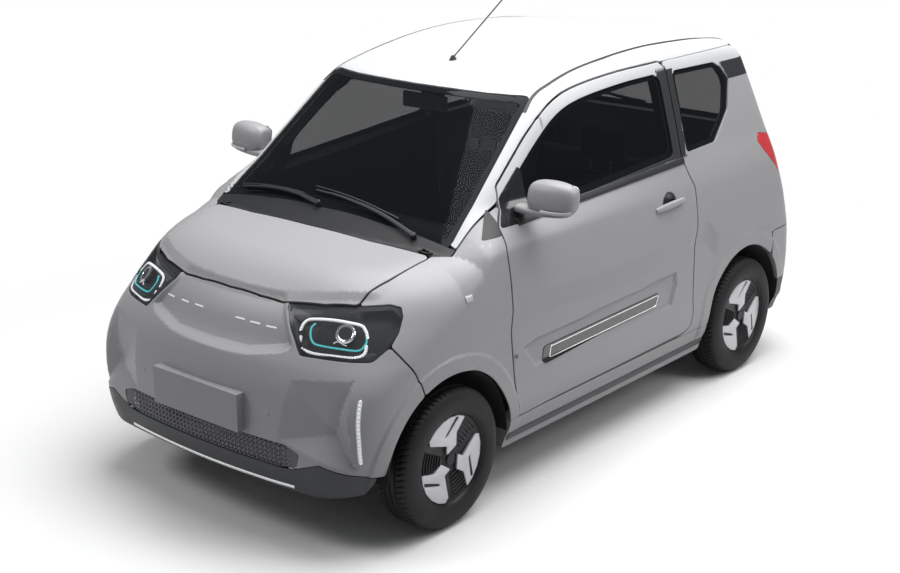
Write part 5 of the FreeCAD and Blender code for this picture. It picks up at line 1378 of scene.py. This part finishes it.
for label, pad in pads.items():
    before = after = np.array([tuple(v.co) for v in pad.data.vertices])
    after = np.array([tuple(v.co) for v in evaluated(pad).vertices])
    pad.modifiers.clear()
    move = after - before
    far = np.linalg.norm(move, axis=1)[:, None]
    after = before + move * np.minimum(1, SWELL / np.maximum(far, 1e-9))
    profile, half, middle = PADS[label]
    if label != "headrest":
        side = np.abs(after[:, 0] * 1000 - middle)
        seam = half * 0.62
        groove = np.exp(-((side - seam) / CHANNEL_WIDTH) ** 2)
        if label in ("seat_cushion", "seat_back"):
            axis, stops = (1, (-40, 80, 200)) if label == "seat_cushion" else (2, (600, 720, 840))
            for stop in stops:
                near = np.exp(-((after[:, axis] * 1000 - stop) / CHANNEL_WIDTH) ** 2)
                groove = np.maximum(groove, near * (side < seam))
        thin = 2 if "cushion" in label else 1
        core = np.mean(profile, 0)[thin - 1] * MM
        after[:, thin] -= np.sign(after[:, thin] - core) * CHANNEL * groove
    pad.data.vertices.foreach_set("co", after.ravel())
    pad.data.polygons.foreach_set("use_smooth", np.ones(len(pad.data.polygons), bool))
    refine = pad.modifiers.new("refine", "SUBSURF")
    refine.levels = refine.render_levels = 1
    pad.data = evaluated(pad)
    pad.modifiers.clear()
    pad.data.materials.clear()
    pad.data.materials.append(cloth.material)


def brick(x, y, z, bevel):
    net = bmesh.new()
    bmesh.ops.create_cube(net, size=1.0)
    for corner in net.verts:
        corner.co = [limits[0] if c < 0 else limits[1] for c, limits in zip(corner.co, (x, y, z))]
    bmesh.ops.bevel(net, geom=net.edges[:], offset=bevel, segments=3, affect="EDGES", profile=0.5)
    net.verts.index_update()
    result = np.array([tuple(v.co) for v in net.verts]), [tuple(v.index for v in f.verts) for f in net.faces]
    net.free()
    return result


base = brick((130, 490), (-118, 258), (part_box("seat_left")[0][2] * 1000 + 0.5, 374), bevel=12)
posts = [lathe([(0, 0), (0, 6), (60, 6), (60, 0)], (310 + x, 497, 975), (0, 0.22, 1), steps=16)
         for x in (-50, 50)]
for side, flip, turn in SIDES:
    shell("seat_base_" + side, flip([base]), graphite, "shell", ["seat_" + side])
    shell("headrest_posts_" + side, flip(posts), chrome, "shell")
bench_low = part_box("rear_bench")[0][2] * 1000 + 0.5
shell("bench_base", [brick((-478, 478), (822, 1058), (bench_low, 340), bevel=10)], graphite, "shell",
      ["rear_bench"])
for label, pad in list(pads.items()):
    rows = [(pad, "rear_bench")]
    if not label.startswith("bench"):
        pad.name = label + "_left"
        copy = linked(label + "_right", pad.data.copy())
        copy.data.transform(Matrix.Translation((-SEAT_STEP, 0, 0)))
        rows = [(pad, "seat_left"), (copy, "seat_right")]
    for one, node in rows:
        settle(one, "shell", [node])


# Parts seen through glass or under the car, which keep their plain shapes: felt liners, painted and
# cast metal, and the grained skin of the dashboard, each given its finish by name.
felt = Finish("liner_felt", (0.007, 0.007, 0.008), 0.95, drift=(40, 0.3, 0.03))
steel = Finish("painted_steel", (0.05, 0.05, 0.055), 0.5, metallic=0.3, drift=(8, 0.2, 0.08))
alloy = Finish("cast_alloy", (0.42, 0.43, 0.44), 0.45, metallic=0.8, drift=(12, 0.1, 0.08))
dash_skin = Finish("dash_skin", (0.030, 0.031, 0.034), 0.6, drift=(20, 0.15, 0.05),
                   grain=(1400.0, 2.0, 0.3, 0.0004))
plate_paint = Finish("plate_paint", (0.30, 0.30, 0.31), 0.4, drift=(10, 0.05, 0.05))
POST_DARK, DOOR_GAP_X = (0.05, 0.05, 0.055), 0.712  # the posts are body grey where the door gaps show them
post_paint = Finish("post_paint", POST_DARK, 0.5)
across_car = post_paint.node("ShaderNodeSeparateXYZ", {}, {"Vector": post_paint.place()}, "X")
at_gap = across_car.maths("ABSOLUTE") > DOOR_GAP_X
post_paint.feed("Base Color", post_paint.mix(at_gap, POST_DARK + (1,), GREY + (1,)))
FINISHES = [("wheel_liners", felt), ("bulkhead", post_paint), ("headlamps", smoked),
            ("number_plate", plate_paint), ("cowl_panel", black_trim), ("antenna", black_trim),
            ("dashboard", dash_skin), ("steering", dash_skin), ("interior_mirror", gloss_black),
            ("drive_motor", alloy), ("", steel)]
for name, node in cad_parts.items():
    finish = next(finish for start, finish in FINISHES if name.startswith(start))
    node.data.materials.clear()
    node.data.materials.append(finish.material)
    node.data.polygons.foreach_set("use_smooth", np.ones(len(node.data.polygons), bool))
    node.data.set_sharp_from_angle(angle=math.radians(32))
